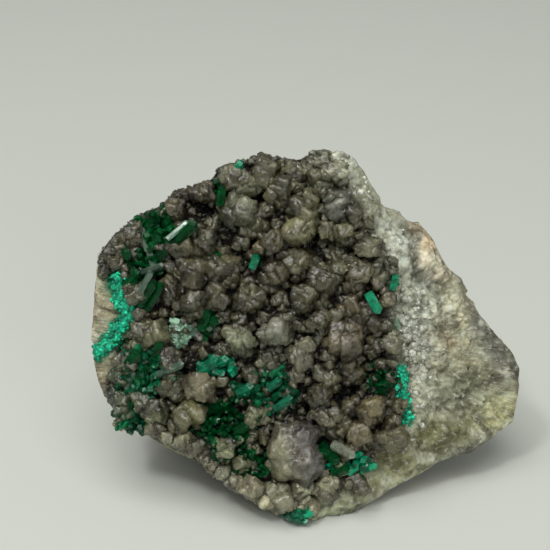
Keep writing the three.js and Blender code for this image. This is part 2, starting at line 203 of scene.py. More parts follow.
# Points or round forms of the given reach, moved in where they would stand out past the
# specimen's outline
def drawnIn(middles, reaches):
    places = onPicture(middles)
    room = insideBy(places, specimenOutline)
    probes = 0.1 * np.eye(2)     # short ways across and up, for the slope of the distance
    slopes = [insideBy(places + probe, specimenOutline) - room for probe in probes]
    inward = unit(np.stack(slopes, axis=-1) + 1e-9)
    shift = inward * np.maximum(reaches - room, 0)[:, None]
    return middles + shift @ np.array([rightward, upward])


# Distance to an open course in the picture plane
def courseDistance(places, course):
    a = np.array(course[:-1], float)
    run = np.array(course[1:], float) - a
    arm = places[:, None, :] - a
    t = np.clip((arm * run).sum(-1) / (run ** 2).sum(-1), 0, 1)
    return np.linalg.norm(arm - t[..., None] * run, axis=-1).min(-1)


# Directions all round, from a square grid that is folded over a ball: |x| + |y| + |z| = 1,
# with the square's corners folded to the far side. gather under 1 draws the grid lines
# together at the middle of the square, which faces along "toward".
def ballGrid(count, gather=1.0, toward=(0, 0, 1)):
    line = np.linspace(-1, 1, count + 1)
    u, v = np.meshgrid(line, line, indexing="ij")
    pull = gather + (1 - gather) * np.maximum(abs(u), abs(v)) ** 3
    u, v = u * pull, v * pull
    height = 1 - abs(u) - abs(v)
    fold = np.maximum(-height, 0)
    folded = np.stack([u - np.sign(u) * fold, v - np.sign(v) * fold, height], axis=-1)
    ids = np.arange((count + 1) ** 2).reshape(count + 1, count + 1)
    for side in (ids[0], ids[-1], ids[:, 0], ids[:, -1]):
        side[:] = np.minimum(side, side[::-1])
    quads = np.stack([ids[:-1, :-1], ids[1:, :-1], ids[1:, 1:], ids[:-1, 1:]], axis=-1)
    used, quads = np.unique(quads.reshape(-1, 4), return_inverse=True)
    z = unit(np.array(toward, float))
    x = unit(np.cross((0.1, 1, 0.2), z))     # square to z and to a way that no grid faces
    axes = np.array([x, np.cross(z, x), z])
    return unit(folded.reshape(-1, 3)[used]) @ axes, quads.reshape(-1, 4)


# The rock, as the solid part has it

rockForm = {
    "heart": (1, 3, 27),     # a point deep inside
    "wear": 46,              # sharpness of the edges
    "roundness": 9,          # the same for the block that the druse's reach is judged by
    "steadyHeight": 5,       # the foot's own height, where the relief dies out
    "bedDepth": 3.2,         # hollow under the druse
    "bedEdge": (-1, 6),      # mm inside the druse's outline over which the bed sinks
    "bareEdge": (-1, 3),     # the same over which the bare rock ends
    "turnedAway": (-0.4, -0.05),  # cosine to the eye below which there is no druse
    "swellFade": (-0.3, 0.1),     # cosine to the front over which the swells fade in
    "ledgeStep": 0.6,        # half the width of a ledge's drop
    "ledgeRun": 0.5,         # its way back below the drop, as a share of its length
    "beddingHeight": 0.45,
    "foldHeight": 1.6,
    "foldLevel": 0.4,
    "skin": 1.8,             # calcite under its crystals, with the gap below it
    "underBed": 3.5,         # the rock's own depth below the bed
    "inset": (0.15, 0.25),   # mm that it keeps inside the outline, and how ragged that is
    "grid": 290,             # squares each way, drawn together along "gridToward"
    "gather": 0.8,
    "gridToward": (0.6, -0.7, 0.4),
    "gridReach": (50, 26, 30),
    # corners on the seen side: across, up, depth y
    "seenCorners": [
        (-38.2, 5.2, 5), (-26, 14.6, 8), (-12.4, 21.2, 11), (-4.6, 23.4, 13), (10.4, 25.8, 15),
        (16, 25.2, 15), (17, 17, 8), (20.8, 12.6, 15), (31.6, 9.2, 17), (35.4, 0.6, 14),
        (42, -9.4, 7), (51.8, -18.8, 0), (51.4, -29.6, -4), (39.2, -35.8, -9),
        (25, -42.8, -15), (15.6, -50.6, -21), (5, -50.6, -24), (-2.6, -47, -23),
        (-16, -34.6, -18), (-34, -29.4, -11), (-38, -20.4, -6), (-38.6, -13.6, -3),
        (24.6, -2, -1), (25, -27.4, -12), (-7, -11, -6),
    ],
    # corners on the back and underneath: x, y, z
    "hiddenCorners": [
        (2, 26, 57), (-30, 19, 40), (-29, 20, 10), (-3, 30, 5), (27, 27, 32), (31, 17, 5),
        (-33, 3, 8), (37, 6, 8), (-2, -20, -1.5), (-20.6, 2.6, -1.5), (-18, 14, -1.5),
        (3, 22, -1.5), (22, 12, -1.5), (22, -6, -1.5),
    ],
    # across, up, width, height
    "swells": [
        (42, -10, 4.5, -1), (48, -19.4, 3.5, 1.6), (36, -20, 5, -1.4), (32, -33, 4, 1),
        (41, -30, 3.5, -1.1), (31, 7.6, 3, 1), (23.4, 15.4, 4.2, -2.2), (24, -39, 3.5, -1),
        (15.4, -47, 3.6, 1.3),
        (-35, -8, 3, 0.7), (-35, -18, 3, -0.7),
    ],
    # the way from the heart to the ledge, the way down it, its drop and its length
    "ledges": [
        ((0.66, -0.35, 0.42), (1, 0, -0.1), 1.5, 12),
        ((0.9, 0.1, 0.25), (0.5, -0.2, -0.85), 1.3, 10),
        ((0.85, -0.3, -0.25), (0.3, 0.2, -0.9), 1.6, 12),
        ((0.4, -0.6, -0.6), (0.9, 0.1, -0.3), 1.1, 8),
        ((0.5, 0.7, 0.5), (0.2, 0.3, -0.9), 1.8, 14),
        ((-0.3, 0.8, 0.3), (-0.7, 0.2, -0.6), 1.6, 13),
        ((0.1, 0.9, -0.3), (0.6, 0.3, -0.7), 1.7, 14),
        ((-0.7, 0.5, -0.1), (-0.2, 0.6, -0.8), 1.4, 11),
        ((0.6, 0.6, -0.4), (-0.3, 0.2, -0.9), 1.5, 11),
        ((-0.7, -0.2, -0.55), (0.1, -0.3, -0.9), 1.2, 9),
    ],
    # the way from the heart, width and depth
    "pits": [
        ((0.2, 0.8, 0.6), 4, 1.5), ((-0.45, 0.75, -0.1), 4.5, 1.8), ((0.7, 0.5, 0.1), 5, 1.6),
        ((-0.1, 0.7, 0.8), 4, 1.2), ((-0.8, 0.35, 0.3), 4, 1.3), ((0.35, 0.8, -0.35), 4.5, 1.5),
        ((0.95, 0.2, -0.1), 4, 1.2),
    ],
}

druseOutline = [
    (-38, 4), (-34, 11), (-29, 15.5), (-18, 22), (-13, 26), (-6, 28), (0, 29), (10, 28.5),
    (13.5, 22), (16, 16), (20, 9.4), (23, 2.6), (24.6, -5), (25, -14), (25.8, -25),
    (24.2, -32), (20, -37.4), (14, -43.4), (8.6, -48.6), (4, -51), (-4, -49), (-10, -44.5),
    (-16, -40), (-24, -36.5), (-32, -33), (-34.5, -24), (-33.4, -18), (-31, -13.4),
    (-29, -8.6), (-31.4, -2), (-35, 0.5),
]

# Outline of the whole specimen on the picture plane
specimenOutline = [
    (-36.8, -15), (-36.4, -7), (-35.6, 4), (-32.6, 7.8), (-28, 12), (-23.4, 13.6), (-20, 17),
    (-16.6, 18), (-12, 19.4), (-11.6, 22), (-7, 23), (-2.6, 24.4), (0, 24), (5, 23), (7.4, 25),
    (10, 25.4), (14, 25), (16.2, 23), (19.4, 18.2), (22, 14), (24.6, 13), (26.6, 10.6),
    (28.6, 10.6), (31, 8), (32.6, 5.2), (34.4, 1.8), (37.4, -1), (39.4, -4.4), (41, -8),
    (44, -11.6), (47, -15), (49.2, -18.2), (48.8, -22), (48.4, -25), (47.6, -29), (43, -33),
    (39.4, -35.4), (33, -37.4), (27.4, -40.6), (24, -42.4), (20, -45), (16.6, -47.4),
    (14, -48.4), (10.6, -48.2), (7.4, -50), (4.2, -49.6), (1, -48), (-2.6, -47.4), (-5, -45.4),
    (-9.4, -43), (-14, -38.6), (-17, -36.6), (-21.4, -34.6), (-24, -33), (-27, -31.4),
    (-31.4, -31.2), (-34, -25), (-35.6, -20),
]

heart = np.array(rockForm["heart"], float)


# Outer planes through the corners: every three corners with all the others behind them
def outerPlanes(corners):
    arms = corners - heart
    a, b, c = np.array([t for t in np.ndindex((len(arms),) * 3) if t[0] < t[1] < t[2]]).T
    normals = np.cross(arms[b] - arms[a], arms[c] - arms[a])
    normals = normals / np.maximum(np.linalg.norm(normals, axis=1, keepdims=True), 1e-9)
    far = (normals * arms[a]).sum(1)
    normals = normals * np.sign(far)[:, None]
    far = abs(far)
    outer = (far > 1e-6) & ((arms @ normals.T).max(0) <= far + 1e-6)
    kept = np.unique(np.round(np.c_[normals[outer], far[outer]], 5), axis=0)
    return kept[:, :3], kept[:, 3]


seen = np.array(rockForm["seenCorners"], float)
rockCorners = np.r_[atDepth(*seen.T), np.array(rockForm["hiddenCorners"], float)]
planeNormals, planeFar = outerPlanes(rockCorners)


# Point and outward normal of the worn block in each direction, and the normal of a rounder
# block: the planes' nearnesses are joined by a power, and a lower power rounds the edges.
def blockSurface(directions):
    wear = rockForm["wear"]
    nearness = np.maximum(directions @ planeNormals.T / planeFar, 1e-6)
    most = nearness.max(1, keepdims=True)
    share = (nearness / most) ** (wear - 1)
    total = (share * nearness / most).sum(1)
    reach = 1 / (most[:, 0] * total ** (1 / wear))
    soft = (nearness / most) ** (rockForm["roundness"] - 1)
    normals, softNormals = (unit((power / planeFar) @ planeNormals) for power in (share, soft))
    return heart + directions * reach[:, None], normals, softNormals


# Where the worn block is met along a way from its heart
def placed(toward):
    return blockSurface(unit(np.array([toward], float)))[0][0]


# Everything about the rock in each direction: the surface before the bed is sunk, and how
# far the druse covers it. Ledges drop and run out again, swells and pits are bell-shaped,
# the bedding is a wave across the layers, and crossed waves fold the surface in creases.
def rockSurface(directions):
    form = rockForm
    point, normal, softNormal = blockSurface(directions)
    turned = smoothStep(facingEye(point, softNormal), *form["turnedAway"])
    picture = onPicture(point)
    inside = insideBy(picture, druseOutline)
    bare = 1 - smoothStep(inside, *form["bareEdge"]) * turned
    relief = 0
    for toward, down, drop, long in form["ledges"]:
        arm = point - placed(toward)
        past = arm @ unit(np.array(down, float))
        fade = np.exp(-(arm ** 2).sum(1) / long ** 2)
        runOut = np.exp(-np.maximum(past, 0) / (form["ledgeRun"] * long))
        relief = relief - drop * fade * smoothStep(past, -form["ledgeStep"], form["ledgeStep"]) * runOut
    x, y, z = point.T
    folds = abs(np.sin(0.23 * x + 0.9 + 0.8 * np.sin(0.17 * z)) * np.sin(0.21 * y + 0.19 * z))
    layers = np.sin(0.85 * (0.8 * z + 0.35 * x + 0.3 * y) + 1.2 * np.sin(0.16 * x))
    relief = relief + form["beddingHeight"] * layers + form["foldHeight"] * (form["foldLevel"] - folds)
    front = smoothStep(-(directions @ forward), *form["swellFade"])
    for across, up, wide, high in form["swells"]:
        offset = ((picture - (across, up)) ** 2).sum(1)
        relief = relief + front * high * np.exp(-offset / wide ** 2)
    for toward, wide, deep in form["pits"]:
        relief = relief - deep * np.exp(-((point - placed(toward)) ** 2).sum(1) / wide ** 2)
    relief = relief * smoothStep(z, 0, form["steadyHeight"])
    return {
        "surface": point + directions * (relief * bare)[:, None],
        "normal": normal,
        "picture": picture,
        "inside": inside,
        "turned": turned,
        "bare": bare,
        "bed": smoothStep(inside, *form["bedEdge"]) * turned,
    }


# Normals of a grid of points: the sum of the cross products of the diagonals of its faces,
# whose lengths are the area round each point
def gridNormals(points, quads):
    a, b, c, d = np.moveaxis(points[quads], 1, 0)
    across = np.cross(c - a, d - b)
    total = np.zeros_like(points)
    for k in range(4):
        np.add.at(total, quads[:, k], across)
    return total / np.maximum(np.linalg.norm(total, axis=1, keepdims=True), 1e-12), total


# Faces of all copies of a form, from the faces of one. They are one array, or a list where
# some have three corners and some four.
def repeatFaces(faces, pointCount, copies):
    if isinstance(faces, list):
        return [tuple(pointCount * k + corner for corner in face) for k in range(copies) for face in faces]
    return (np.arange(copies)[:, None, None] * pointCount + faces).reshape(-1, faces.shape[1])


# Writing a mesh: points in millimetres, none below the foot, or such points for each copy of
# a form, with a tint for each point or each copy and, for a crystal, its place in the
# crystal's own frame
def newPiece(name, points, faces, tint, finish, nodes, growth=None, smooth=True):
    if points.ndim == 3:
        copies, pointCount = points.shape[:2]
        faces = repeatFaces(faces, pointCount, copies)
        if len(tint) == copies:
            tint = np.repeat(tint, pointCount, axis=0)
    points = points.reshape(-1, 3) * metres
    points[:, 2] = np.maximum(points[:, 2], 0)
    mesh = bpy.data.meshes.new(name)
    mesh.from_pydata(points, [], faces)
    layer = mesh.color_attributes.new(name="tint", type="FLOAT_COLOR", domain="POINT")
    layer.data.foreach_set("color", np.c_[tint, np.ones(len(tint))].ravel())
    if growth is not None:
        layer = mesh.attributes.new(name="growth", type="FLOAT_VECTOR", domain="POINT")
        layer.data.foreach_set("vector", growth.ravel() * metres)
    mesh.polygons.foreach_set("use_smooth", [smooth] * len(mesh.polygons))
    mesh.materials.append(finishes[finish])
    piece = bpy.data.objects.new(name, mesh)
    bpy.context.scene.collection.objects.link(piece)
    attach(piece, "root")
    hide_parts(*nodes)
    print(" ", name, sum(len(face) - 2 for face in faces), "triangles")


# Shader groups that several finishes share

# A value set on a socket, or another node's output linked to it
def fill(tree, socket, value):
    if isinstance(value, bpy.types.NodeSocket):
        tree.links.new(value, socket)
    else:
        socket.default_value = value


def fillAll(tree, sockets, values):
    for label, value in values.items():
        fill(tree, sockets[label], value)


# A node with its settings, its inputs filled
def addNode(tree, kind, inputs=None, **settings):
    node = tree.nodes.new(kind)
    for label, value in settings.items():
        setattr(node, label, value)
    fillAll(tree, node.inputs, inputs or {})
    return node


# Inputs are named with their values and the output with its kind of socket
def newGroup(name, inputs, output, kind="NodeSocketFloat"):
    group = bpy.data.node_groups.new(name, "ShaderNodeTree")
    for label, value in inputs.items():
        socketKind = "NodeSocketVector" if isinstance(value, tuple) else "NodeSocketFloat"
        socket = group.interface.new_socket(label, in_out="INPUT", socket_type=socketKind)
        socket.default_value = value
    group.interface.new_socket(output, in_out="OUTPUT", socket_type=kind)
    start = group.nodes.new("NodeGroupInput")
    end = group.nodes.new("NodeGroupOutput")
    return group, start.outputs, end.inputs[output]


def objectPlace(tree):
    return addNode(tree, "ShaderNodeTexCoord").outputs["Object"]


# Mottle: layered noise, stretched along one way of the piece and spread from 0 to 1
# between two of its values
def makeMottle():
    inputs = {"Scale": 300, "Stretch": 1, "Low": 0.4, "High": 0.6}
    group, given, out = newGroup("Mottle", inputs, "Mask")
    squeeze = addNode(group, "ShaderNodeCombineXYZ", {"X": 1, "Y": 1, "Z": given["Stretch"]})
    turn = addNode(group, "ShaderNodeMapping", {
        "Vector": objectPlace(group), "Rotation": (0.3, 0.9, 0.2), "Scale": squeeze.outputs["Vector"],
    }, vector_type="TEXTURE")
    noise = addNode(group, "ShaderNodeTexNoise", {
        "Vector": turn.outputs["Vector"], "Scale": given["Scale"], "Detail": 5, "Roughness": 0.62,
    })
    spread = addNode(group, "ShaderNodeMapRange", {
        "Value": noise.outputs["Fac"], "From Min": given["Low"], "From Max": given["High"],
    }, interpolation_type="SMOOTHSTEP")
    fill(group, out, spread.outputs["Result"])
    return group


# Grain: coarse noise with a share of small cells on it, as a height from 0 to 1
def makeGrain():
    inputs = {"Coarse": 500, "Fine": 1600, "Fine share": 0.4}
    group, given, out = newGroup("Grain", inputs, "Height")
    place = objectPlace(group)
    coarse = addNode(group, "ShaderNodeTexNoise", {
        "Vector": place, "Scale": given["Coarse"], "Detail": 6, "Roughness": 0.6,
    })
    fine = addNode(group, "ShaderNodeTexVoronoi", {"Vector": place, "Scale": given["Fine"]})
    mix = addNode(group, "ShaderNodeMix", {
        "Factor": given["Fine share"], "A": coarse.outputs["Fac"], "B": fine.outputs["Distance"],
    }, data_type="FLOAT")
    fill(group, out, mix.outputs["Result"])
    return group


# Growth lines: noise over the crystal's own frame, pressed together along its axis
def makeGrowthLines():
    inputs = {"Frame": (0.0, 0.0, 0.0), "Scale": 300, "Squeeze": 5}
    group, given, out = newGroup("Growth lines", inputs, "Height")
    squeeze = addNode(group, "ShaderNodeCombineXYZ", {"X": 1, "Y": 1, "Z": given["Squeeze"]})
    pressed = addNode(group, "ShaderNodeVectorMath", {
        0: given["Frame"], 1: squeeze.outputs["Vector"],
    }, operation="MULTIPLY")
    noise = addNode(group, "ShaderNodeTexNoise", {
        "Vector": pressed.outputs["Vector"], "Scale": given["Scale"], "Detail": 4, "Roughness": 0.55,
    })
    fill(group, out, noise.outputs["Fac"])
    return group


# Cleavage glints: small cells, each with the surface normal leant its own way
def makeCleavage():
    inputs = {"Scale": 2500, "Lean": 0.3}
    group, given, out = newGroup("Cleavage", inputs, "Normal", "NodeSocketVector")
    cells = addNode(group, "ShaderNodeTexVoronoi", {"Vector": objectPlace(group), "Scale": given["Scale"]})
    centred = addNode(group, "ShaderNodeVectorMath", {
        0: cells.outputs["Color"], 1: (0.5, 0.5, 0.5),
    }, operation="SUBTRACT")
    leant = addNode(group, "ShaderNodeVectorMath", {
        0: centred.outputs["Vector"], "Scale": given["Lean"],
    }, operation="SCALE")
    added = addNode(group, "ShaderNodeVectorMath", {
        0: addNode(group, "ShaderNodeNewGeometry").outputs["Normal"], 1: leant.outputs["Vector"],
    }, operation="ADD")
    whole = addNode(group, "ShaderNodeVectorMath", {0: added.outputs["Vector"]}, operation="NORMALIZE")
    fill(group, out, whole.outputs["Vector"])
    return group


print("finishes")
mottleGroup = makeMottle()
grainGroup = makeGrain()
growthGroup = makeGrowthLines()
cleavageGroup = makeCleavage()


# The output of a shared group that is placed with its own values
def useGroup(tree, group, **values):
    node = addNode(tree, "ShaderNodeGroup", node_tree=group)
    fillAll(tree, node.inputs, {label.replace("_", " "): value for label, value in values.items()})
    return node.outputs[0]


# One colour over another by a mask
def layColour(tree, mask, below, above, blend="MIX"):
    mix = addNode(tree, "ShaderNodeMix", data_type="RGBA", blend_type=blend)
    fill(tree, mix.inputs["Factor"], 1 if mask is None else mask)
    for label, value in (("A", below), ("B", above)):
        socket = next(s for s in mix.inputs if s.name == label and s.type == "RGBA")
        fill(tree, socket, value if isinstance(value, bpy.types.NodeSocket) else (*value, 1))
    return next(s for s in mix.outputs if s.type == "RGBA")


# A mask from 0 to 1 as a value from low to high
def layValue(tree, mask, low, high):
    spread = addNode(tree, "ShaderNodeMapRange", {"Value": mask, "To Min": low, "To Max": high})
    return spread.outputs["Result"]


def newFinish(name):
    material = bpy.data.materials.new(name)
    material.use_nodes = True
    tree = material.node_tree
    tint = addNode(tree, "ShaderNodeAttribute", attribute_name="tint")
    return material, tree, tree.nodes["Principled BSDF"].inputs, tint.outputs["Color"]


# Height of the growth lines of a crystal
def growthLines(tree, scale, squeeze):
    growth = addNode(tree, "ShaderNodeAttribute", attribute_name="growth").outputs["Vector"]
    return useGroup(tree, growthGroup, Frame=growth, Scale=scale, Squeeze=squeeze)


# Bumps laid over each other, the first over the given normal: height and depth in mm
def addBumps(tree, shader, normal, *layers):
    for height, depth in layers:
        bump = addNode(tree, "ShaderNodeBump", {
            "Distance": depth * metres, "Height": height, "Normal": normal,
        })
        normal = bump.outputs["Normal"]
    fill(tree, shader["Normal"], normal)


# Pale rock: tinted by zone, clouded twice, with white sugary specks and dark pinholes
rockLook = {
    "cloud": 170, "cloudDark": (0.64, 0.62, 0.58), "cloudPale": (1.04, 1.04, 1.04),
    "grain": 560, "grainDark": (0.66, 0.64, 0.59), "grainPale": (1.1, 1.1, 1.1),
    "specks": 1000, "white": colour(226, 226, 214), "whiteShare": 0.45,
    "pinholes": 480, "dark": colour(62, 58, 46), "darkShare": 0.6,
    "roughness": (0.75, 0.4), "bump": 0.7, "lean": 0.3,
}


def makeRock():
    look = rockLook
    material, tree, shader, tint = newFinish("country rock")
    cloud = useGroup(tree, mottleGroup, Scale=look["cloud"], Stretch=1.6, Low=0.35, High=0.62)
    grain = useGroup(tree, mottleGroup, Scale=look["grain"], Stretch=1.4, Low=0.36, High=0.56)
    speck = useGroup(tree, mottleGroup, Scale=look["specks"], Stretch=1.2, Low=0.55, High=0.68)
    hole = useGroup(tree, mottleGroup, Scale=look["pinholes"], Stretch=1.3, Low=0.6, High=0.7)
    clouded = layColour(tree, cloud, look["cloudDark"], look["cloudPale"])
    grained = layColour(tree, grain, look["grainDark"], look["grainPale"])
    base = layColour(tree, None, tint, clouded, "MULTIPLY")
    base = layColour(tree, None, base, grained, "MULTIPLY")
    base = layColour(tree, layValue(tree, speck, 0, look["whiteShare"]), base, look["white"])
    base = layColour(tree, layValue(tree, hole, 0, look["darkShare"]), base, look["dark"])
    lean = useGroup(tree, cleavageGroup, Scale=2100, Lean=look["lean"])
    height = useGroup(tree, grainGroup, Coarse=520, Fine=1200, Fine_share=0.3)
    addBumps(tree, shader, lean, (height, look["bump"]))
    fillAll(tree, shader, {
        "Base Color": base,
        "Roughness": layValue(tree, speck, *look["roughness"]),
        "Specular IOR Level": 0.4,
        "Subsurface Weight": 0.3,
        "Subsurface Radius": (1, 0.9, 0.7),
        "Subsurface Scale": 0.0006,
    })
    return material


# Calcite: tinted point by point, clouded with smoke, veiled in white, lined by its growth
# and glinting. "passing" is the share of light let through, "milky" the share scattered.
calciteLooks = {
    "smoky": {
        "name": "smoky calcite", "passing": 0.3, "milky": 0.6, "roughness": (0.44, 0.11),
        "cloud": 270, "lines": 0.34, "lean": 0.3, "shine": 0.6,
    },
    "bed": {
        "name": "shaded calcite bed", "passing": 0, "milky": 0, "roughness": (0.9, 0.7),
        "cloud": 500, "lines": 0.1, "lean": 0.5, "shine": 0.12,
    },
    "sugar": {
        "name": "sugary calcite", "passing": 0.25, "milky": 0.3, "roughness": (0.45, 0.15),
        "cloud": 700, "lines": 0.06, "lean": 0.35, "shine": 0.5,
    },
}
calciteSmoke = (0.44, 0.41, 0.37), (1.32, 1.32, 1.3)     # tint where it is dark and where clear
calciteVeil = colour(206, 206, 196)
calciteGrit = 0.12     # depth of the fine grain, in mm


def makeCalcite(look):
    material, tree, shader, tint = newFinish(look["name"])
    cloud = look["cloud"]
    smoke = useGroup(tree, mottleGroup, Scale=cloud, Stretch=1.4, Low=0.34, High=0.62)
    veil = useGroup(tree, mottleGroup, Scale=cloud * 3, Stretch=2.5, Low=0.52, High=0.72)
    worn = useGroup(tree, mottleGroup, Scale=cloud * 4, Stretch=1, Low=0.4, High=0.62)
    base = layColour(tree, None, tint, layColour(tree, smoke, *calciteSmoke), "MULTIPLY")
    base = layColour(tree, layValue(tree, veil, 0, 0.3), base, calciteVeil)
    lean = useGroup(tree, cleavageGroup, Scale=2300, Lean=look["lean"])
    grain = useGroup(tree, grainGroup, Coarse=1100, Fine=1900, Fine_share=0.3)
    addBumps(tree, shader, lean, (growthLines(tree, 260, 5), look["lines"]), (grain, calciteGrit))
    fillAll(tree, shader, {
        "Base Color": base,
        "Roughness": layValue(tree, worn, *look["roughness"]),
        "IOR": 1.6,
        "Specular IOR Level": look["shine"],
        "Transmission Weight": look["passing"],
        "Subsurface Weight": look["milky"],
        "Subsurface Radius": (1, 0.85, 0.7),
        "Subsurface Scale": 0.0009,
    })
    return material


# Dioptase: clear emerald that darkens with depth, with fine growth marks along its prisms.
# A low "gleam" keeps the pale room out of the deepest greens.
dioptaseLooks = {
    "deep": {
        "name": "deep dioptase", "body": (0.006, 0.3, 0.075), "passing": 0.85, "roughness": (0.16, 0.03),
        "depthColour": (0.02, 0.62, 0.24), "density": 1100, "lines": 0.11, "lean": 0.2, "shine": 0.1,
        "gleam": 0.3,
    },
    "clear": {
        "name": "clear dioptase", "body": (0.014, 0.32, 0.13), "passing": 0.75, "roughness": (0.3, 0.06),
        "depthColour": (0.04, 0.7, 0.34), "density": 800, "lines": 0.11, "lean": 0.2, "shine": 0.2,
        "gleam": 0.55,
    },
    "bright": {
        "name": "bright dioptase", "body": (0.01, 0.5, 0.25), "passing": 0.5, "roughness": (0.25, 0.06),
        "depthColour": (0.05, 0.8, 0.45), "density": 500, "lines": 0.11, "lean": 0.16, "shine": 0.3,
        "gleam": 0.8,
    },
    "mint": {
        "name": "pale dioptase", "body": (0.32, 0.51, 0.36), "passing": 0.4, "roughness": (0.4, 0.15),
        "depthColour": (0.3, 0.8, 0.55), "density": 500, "lines": 0.08, "lean": 0.25, "shine": 0.5,
        "gleam": 1,
    },
    "grains": {
        "name": "granular dioptase", "body": (0.008, 0.58, 0.33), "passing": 0.15, "roughness": (0.6, 0.4),
        "depthColour": (0.1, 0.8, 0.5), "density": 400, "lines": 0.06, "lean": 0.25, "shine": 0.25,
        "gleam": 1,
    },
}
dioptaseCloud = (0.35, 0.45, 0.42), (1.15, 1.15, 1.15)     # share of the body colour


def makeDioptase(look):
    material, tree, shader, tint = newFinish(look["name"])
    cloud = useGroup(tree, mottleGroup, Scale=900, Stretch=2, Low=0.36, High=0.64)
    shade = layColour(tree, None, layColour(tree, cloud, *dioptaseCloud), look["body"], "MULTIPLY")
    lean = useGroup(tree, cleavageGroup, Scale=1900, Lean=look["lean"])
    addBumps(tree, shader, lean, (growthLines(tree, 1500, 0.15), look["lines"]))
    fillAll(tree, shader, {
        "Base Color": layColour(tree, None, tint, shade, "MULTIPLY"),
        "Roughness": layValue(tree, cloud, *look["roughness"]),
        "IOR": 1.67,
        "Specular IOR Level": look["shine"],
        "Specular Tint": (look["gleam"],) * 3 + (1,),
        "Transmission Weight": look["passing"],
    })
    absorption = addNode(tree, "ShaderNodeVolumeAbsorption", {
        "Color": (*look["depthColour"], 1), "Density": look["density"],
    })
    fill(tree, tree.nodes["Material Output"].inputs["Volume"], absorption.outputs["Volume"])
    return material


finishes = {"rock": makeRock()}
finishes.update({key: makeCalcite(look) for key, look in calciteLooks.items()})
finishes.update({key: makeDioptase(look) for key, look in dioptaseLooks.items()})


print("country rock")

# across, up, half width, half height, turn in degrees, colour, strength
rockZones = [
    (38, -10, 9, 12, -45, (202, 194, 166), 0.9),       # yellow-cream slope
    (26, 6, 4.5, 22, 12, (222, 224, 210), 0.9),        # grey-white sugary rim
    (12, 24, 5, 4.5, 0, (204, 206, 192), 0.9),         # peak
    (46, -13, 4, 8, 45, (142, 140, 126), 0.8),
    (19.5, 17, 3, 5, 25, (168, 168, 146), 0.8),
    (28.5, -22, 5, 9, 0, (194, 192, 172), 0.8),
    (26.2, 3.6, 2.2, 3.6, 10, (226, 228, 218), 0.9),   # whitish pieces on the rim
    (27, -6, 1.8, 3, 0, (218, 222, 210), 0.8),
    (34, -12, 1.6, 2.4, 20, (164, 142, 116), 0.6),
    (36, -4, 2, 3, 40, (206, 198, 172), 0.7),
    (27.5, 10, 1.8, 5, 32, (120, 118, 106), 0.8),      # grey streaks beside the rim
    # Painted shade along the groove
    (31, -2, 1.4, 11, 28, (104, 102, 90), 0.75),       # groove
    (31.8, 2, 2.2, 4.6, 32, (222, 208, 186), 0.9),     # tan piece, pinkish below
    (30.4, 7.4, 2.2, 4.6, 42, (208, 184, 154), 0.95),
    (42, -10.5, 2.5, 9, 30, (92, 89, 82), 0.9),        # dark granular edge
    (45.4, -16.6, 4, 2.4, -40, (116, 114, 106), 0.8),  # grey above the lens
    (46.2, -20.4, 3.6, 2.5, 0, (84, 76, 68), 0.95),    # brownish lens
    (44, -27.6, 6.4, 4, 25, (218, 213, 172), 0.95),    # greenish-yellow corner
    (43.6, -29, 3.4, 1.1, 22, (150, 144, 88), 0.7),
    (38, -22, 5, 4, 0, (138, 140, 118), 0.7),
    (33, -31.5, 9, 2.6, 12, (104, 102, 66), 0.85),     # olive hollow
    (24, -35.5, 7, 2.6, 25, (132, 126, 84), 0.8),
    (38, -36.5, 8, 1.8, 30, (104, 102, 96), 0.85),     # dark strip underneath
    (10, -46, 9, 3, 25, (194, 196, 164), 0.85),        # greenish cream at the bottom
    (22, -41.5, 8, 2, 32, (146, 142, 100), 0.7),
    (24, -9.6, 1.6, 1.2, 0, (126, 170, 142), 0.8),     # faint green stain
    (28, -7.5, 2, 7, 8, (204, 204, 194), 0.7),
    (-36, -8, 4, 9, 10, (182, 172, 148), 0.9),         # cream left rim
    (-36, -18, 3, 7, 0, (160, 146, 122), 0.8),
    (-33, -28, 4, 5, 20, (138, 130, 112), 0.8),
    (-18, -37.5, 14, 3.4, -35, (168, 168, 142), 0.9),  # pale lip under the druse
    (-8, -45, 9, 3.4, -30, (186, 184, 152), 0.9),
    (4, -49.5, 5, 2.4, 0, (172, 178, 140), 0.9),
]


# Groove beside the tan piece
grooveCourse = [(26.1, 9.9), (28.3, 7.2), (27.7, 4.8), (28.8, 1.3), (28.8, -2.4), (28.8, -7.6)]

# The sparkling rim that runs down between the druse and the slope
rimCourse = [(12, 26), (18, 19), (22.5, 10), (25.6, 2), (27.2, -8), (28, -18), (28, -28), (24, -36)]

# Bright granular seams on the bare rock: grains strewn along a course; "break" is the
# stretch of it, in mm from its start, that stays bare
seamForms = {
    "dioptase_seam_left": {
        "course": [(-32.2, -0.6), (-31, -4), (-29.8, -7), (-29.6, -8.8), (-31.4, -11), (-35.4, -15.8)],
        "wide": 1.4, "count": 1700, "radius": (0.2, 0.6), "height": (0.7, 1.4), "power": (8, 16),
        "dents": 0.1,
    },
    "dioptase_seam_right": {
        "course": [(25.2, -18.6), (25.5, -22), (26, -26.4), (26.6, -29)],
        "wide": 1, "count": 900, "radius": (0.2, 0.55), "height": (0.7, 1.4), "power": (8, 16),
        "dents": 0.1, "break": (7.7, 9.3),
    },
}


# Soft noise across and up, to make the edges of something ragged
def wander(points, grain, layers, shifts):
    return np.stack([layeredNoise(points, grain, layers, shift) for shift in shifts], axis=-1)


# The surface under the seams, stained green where it is seen
seamStain = {"colour": colour(3, 146, 100), "strength": 0.95, "ragged": 0.5, "edge": (-1.5, -0.9)}


def seamStained(tint, points, picture, seenShare):
    stain = seamStain
    places = picture + stain["ragged"] * wander(points, 1.9, 2, (2.7, 5.9))
    for form in seamForms.values():
        off = courseDistance(places, form["course"])
        share = smoothStep(-off / form["wide"], *stain["edge"])
        tint = mixed(tint, stain["colour"], stain["strength"] * share[:, None] * seenShare)
    return tint


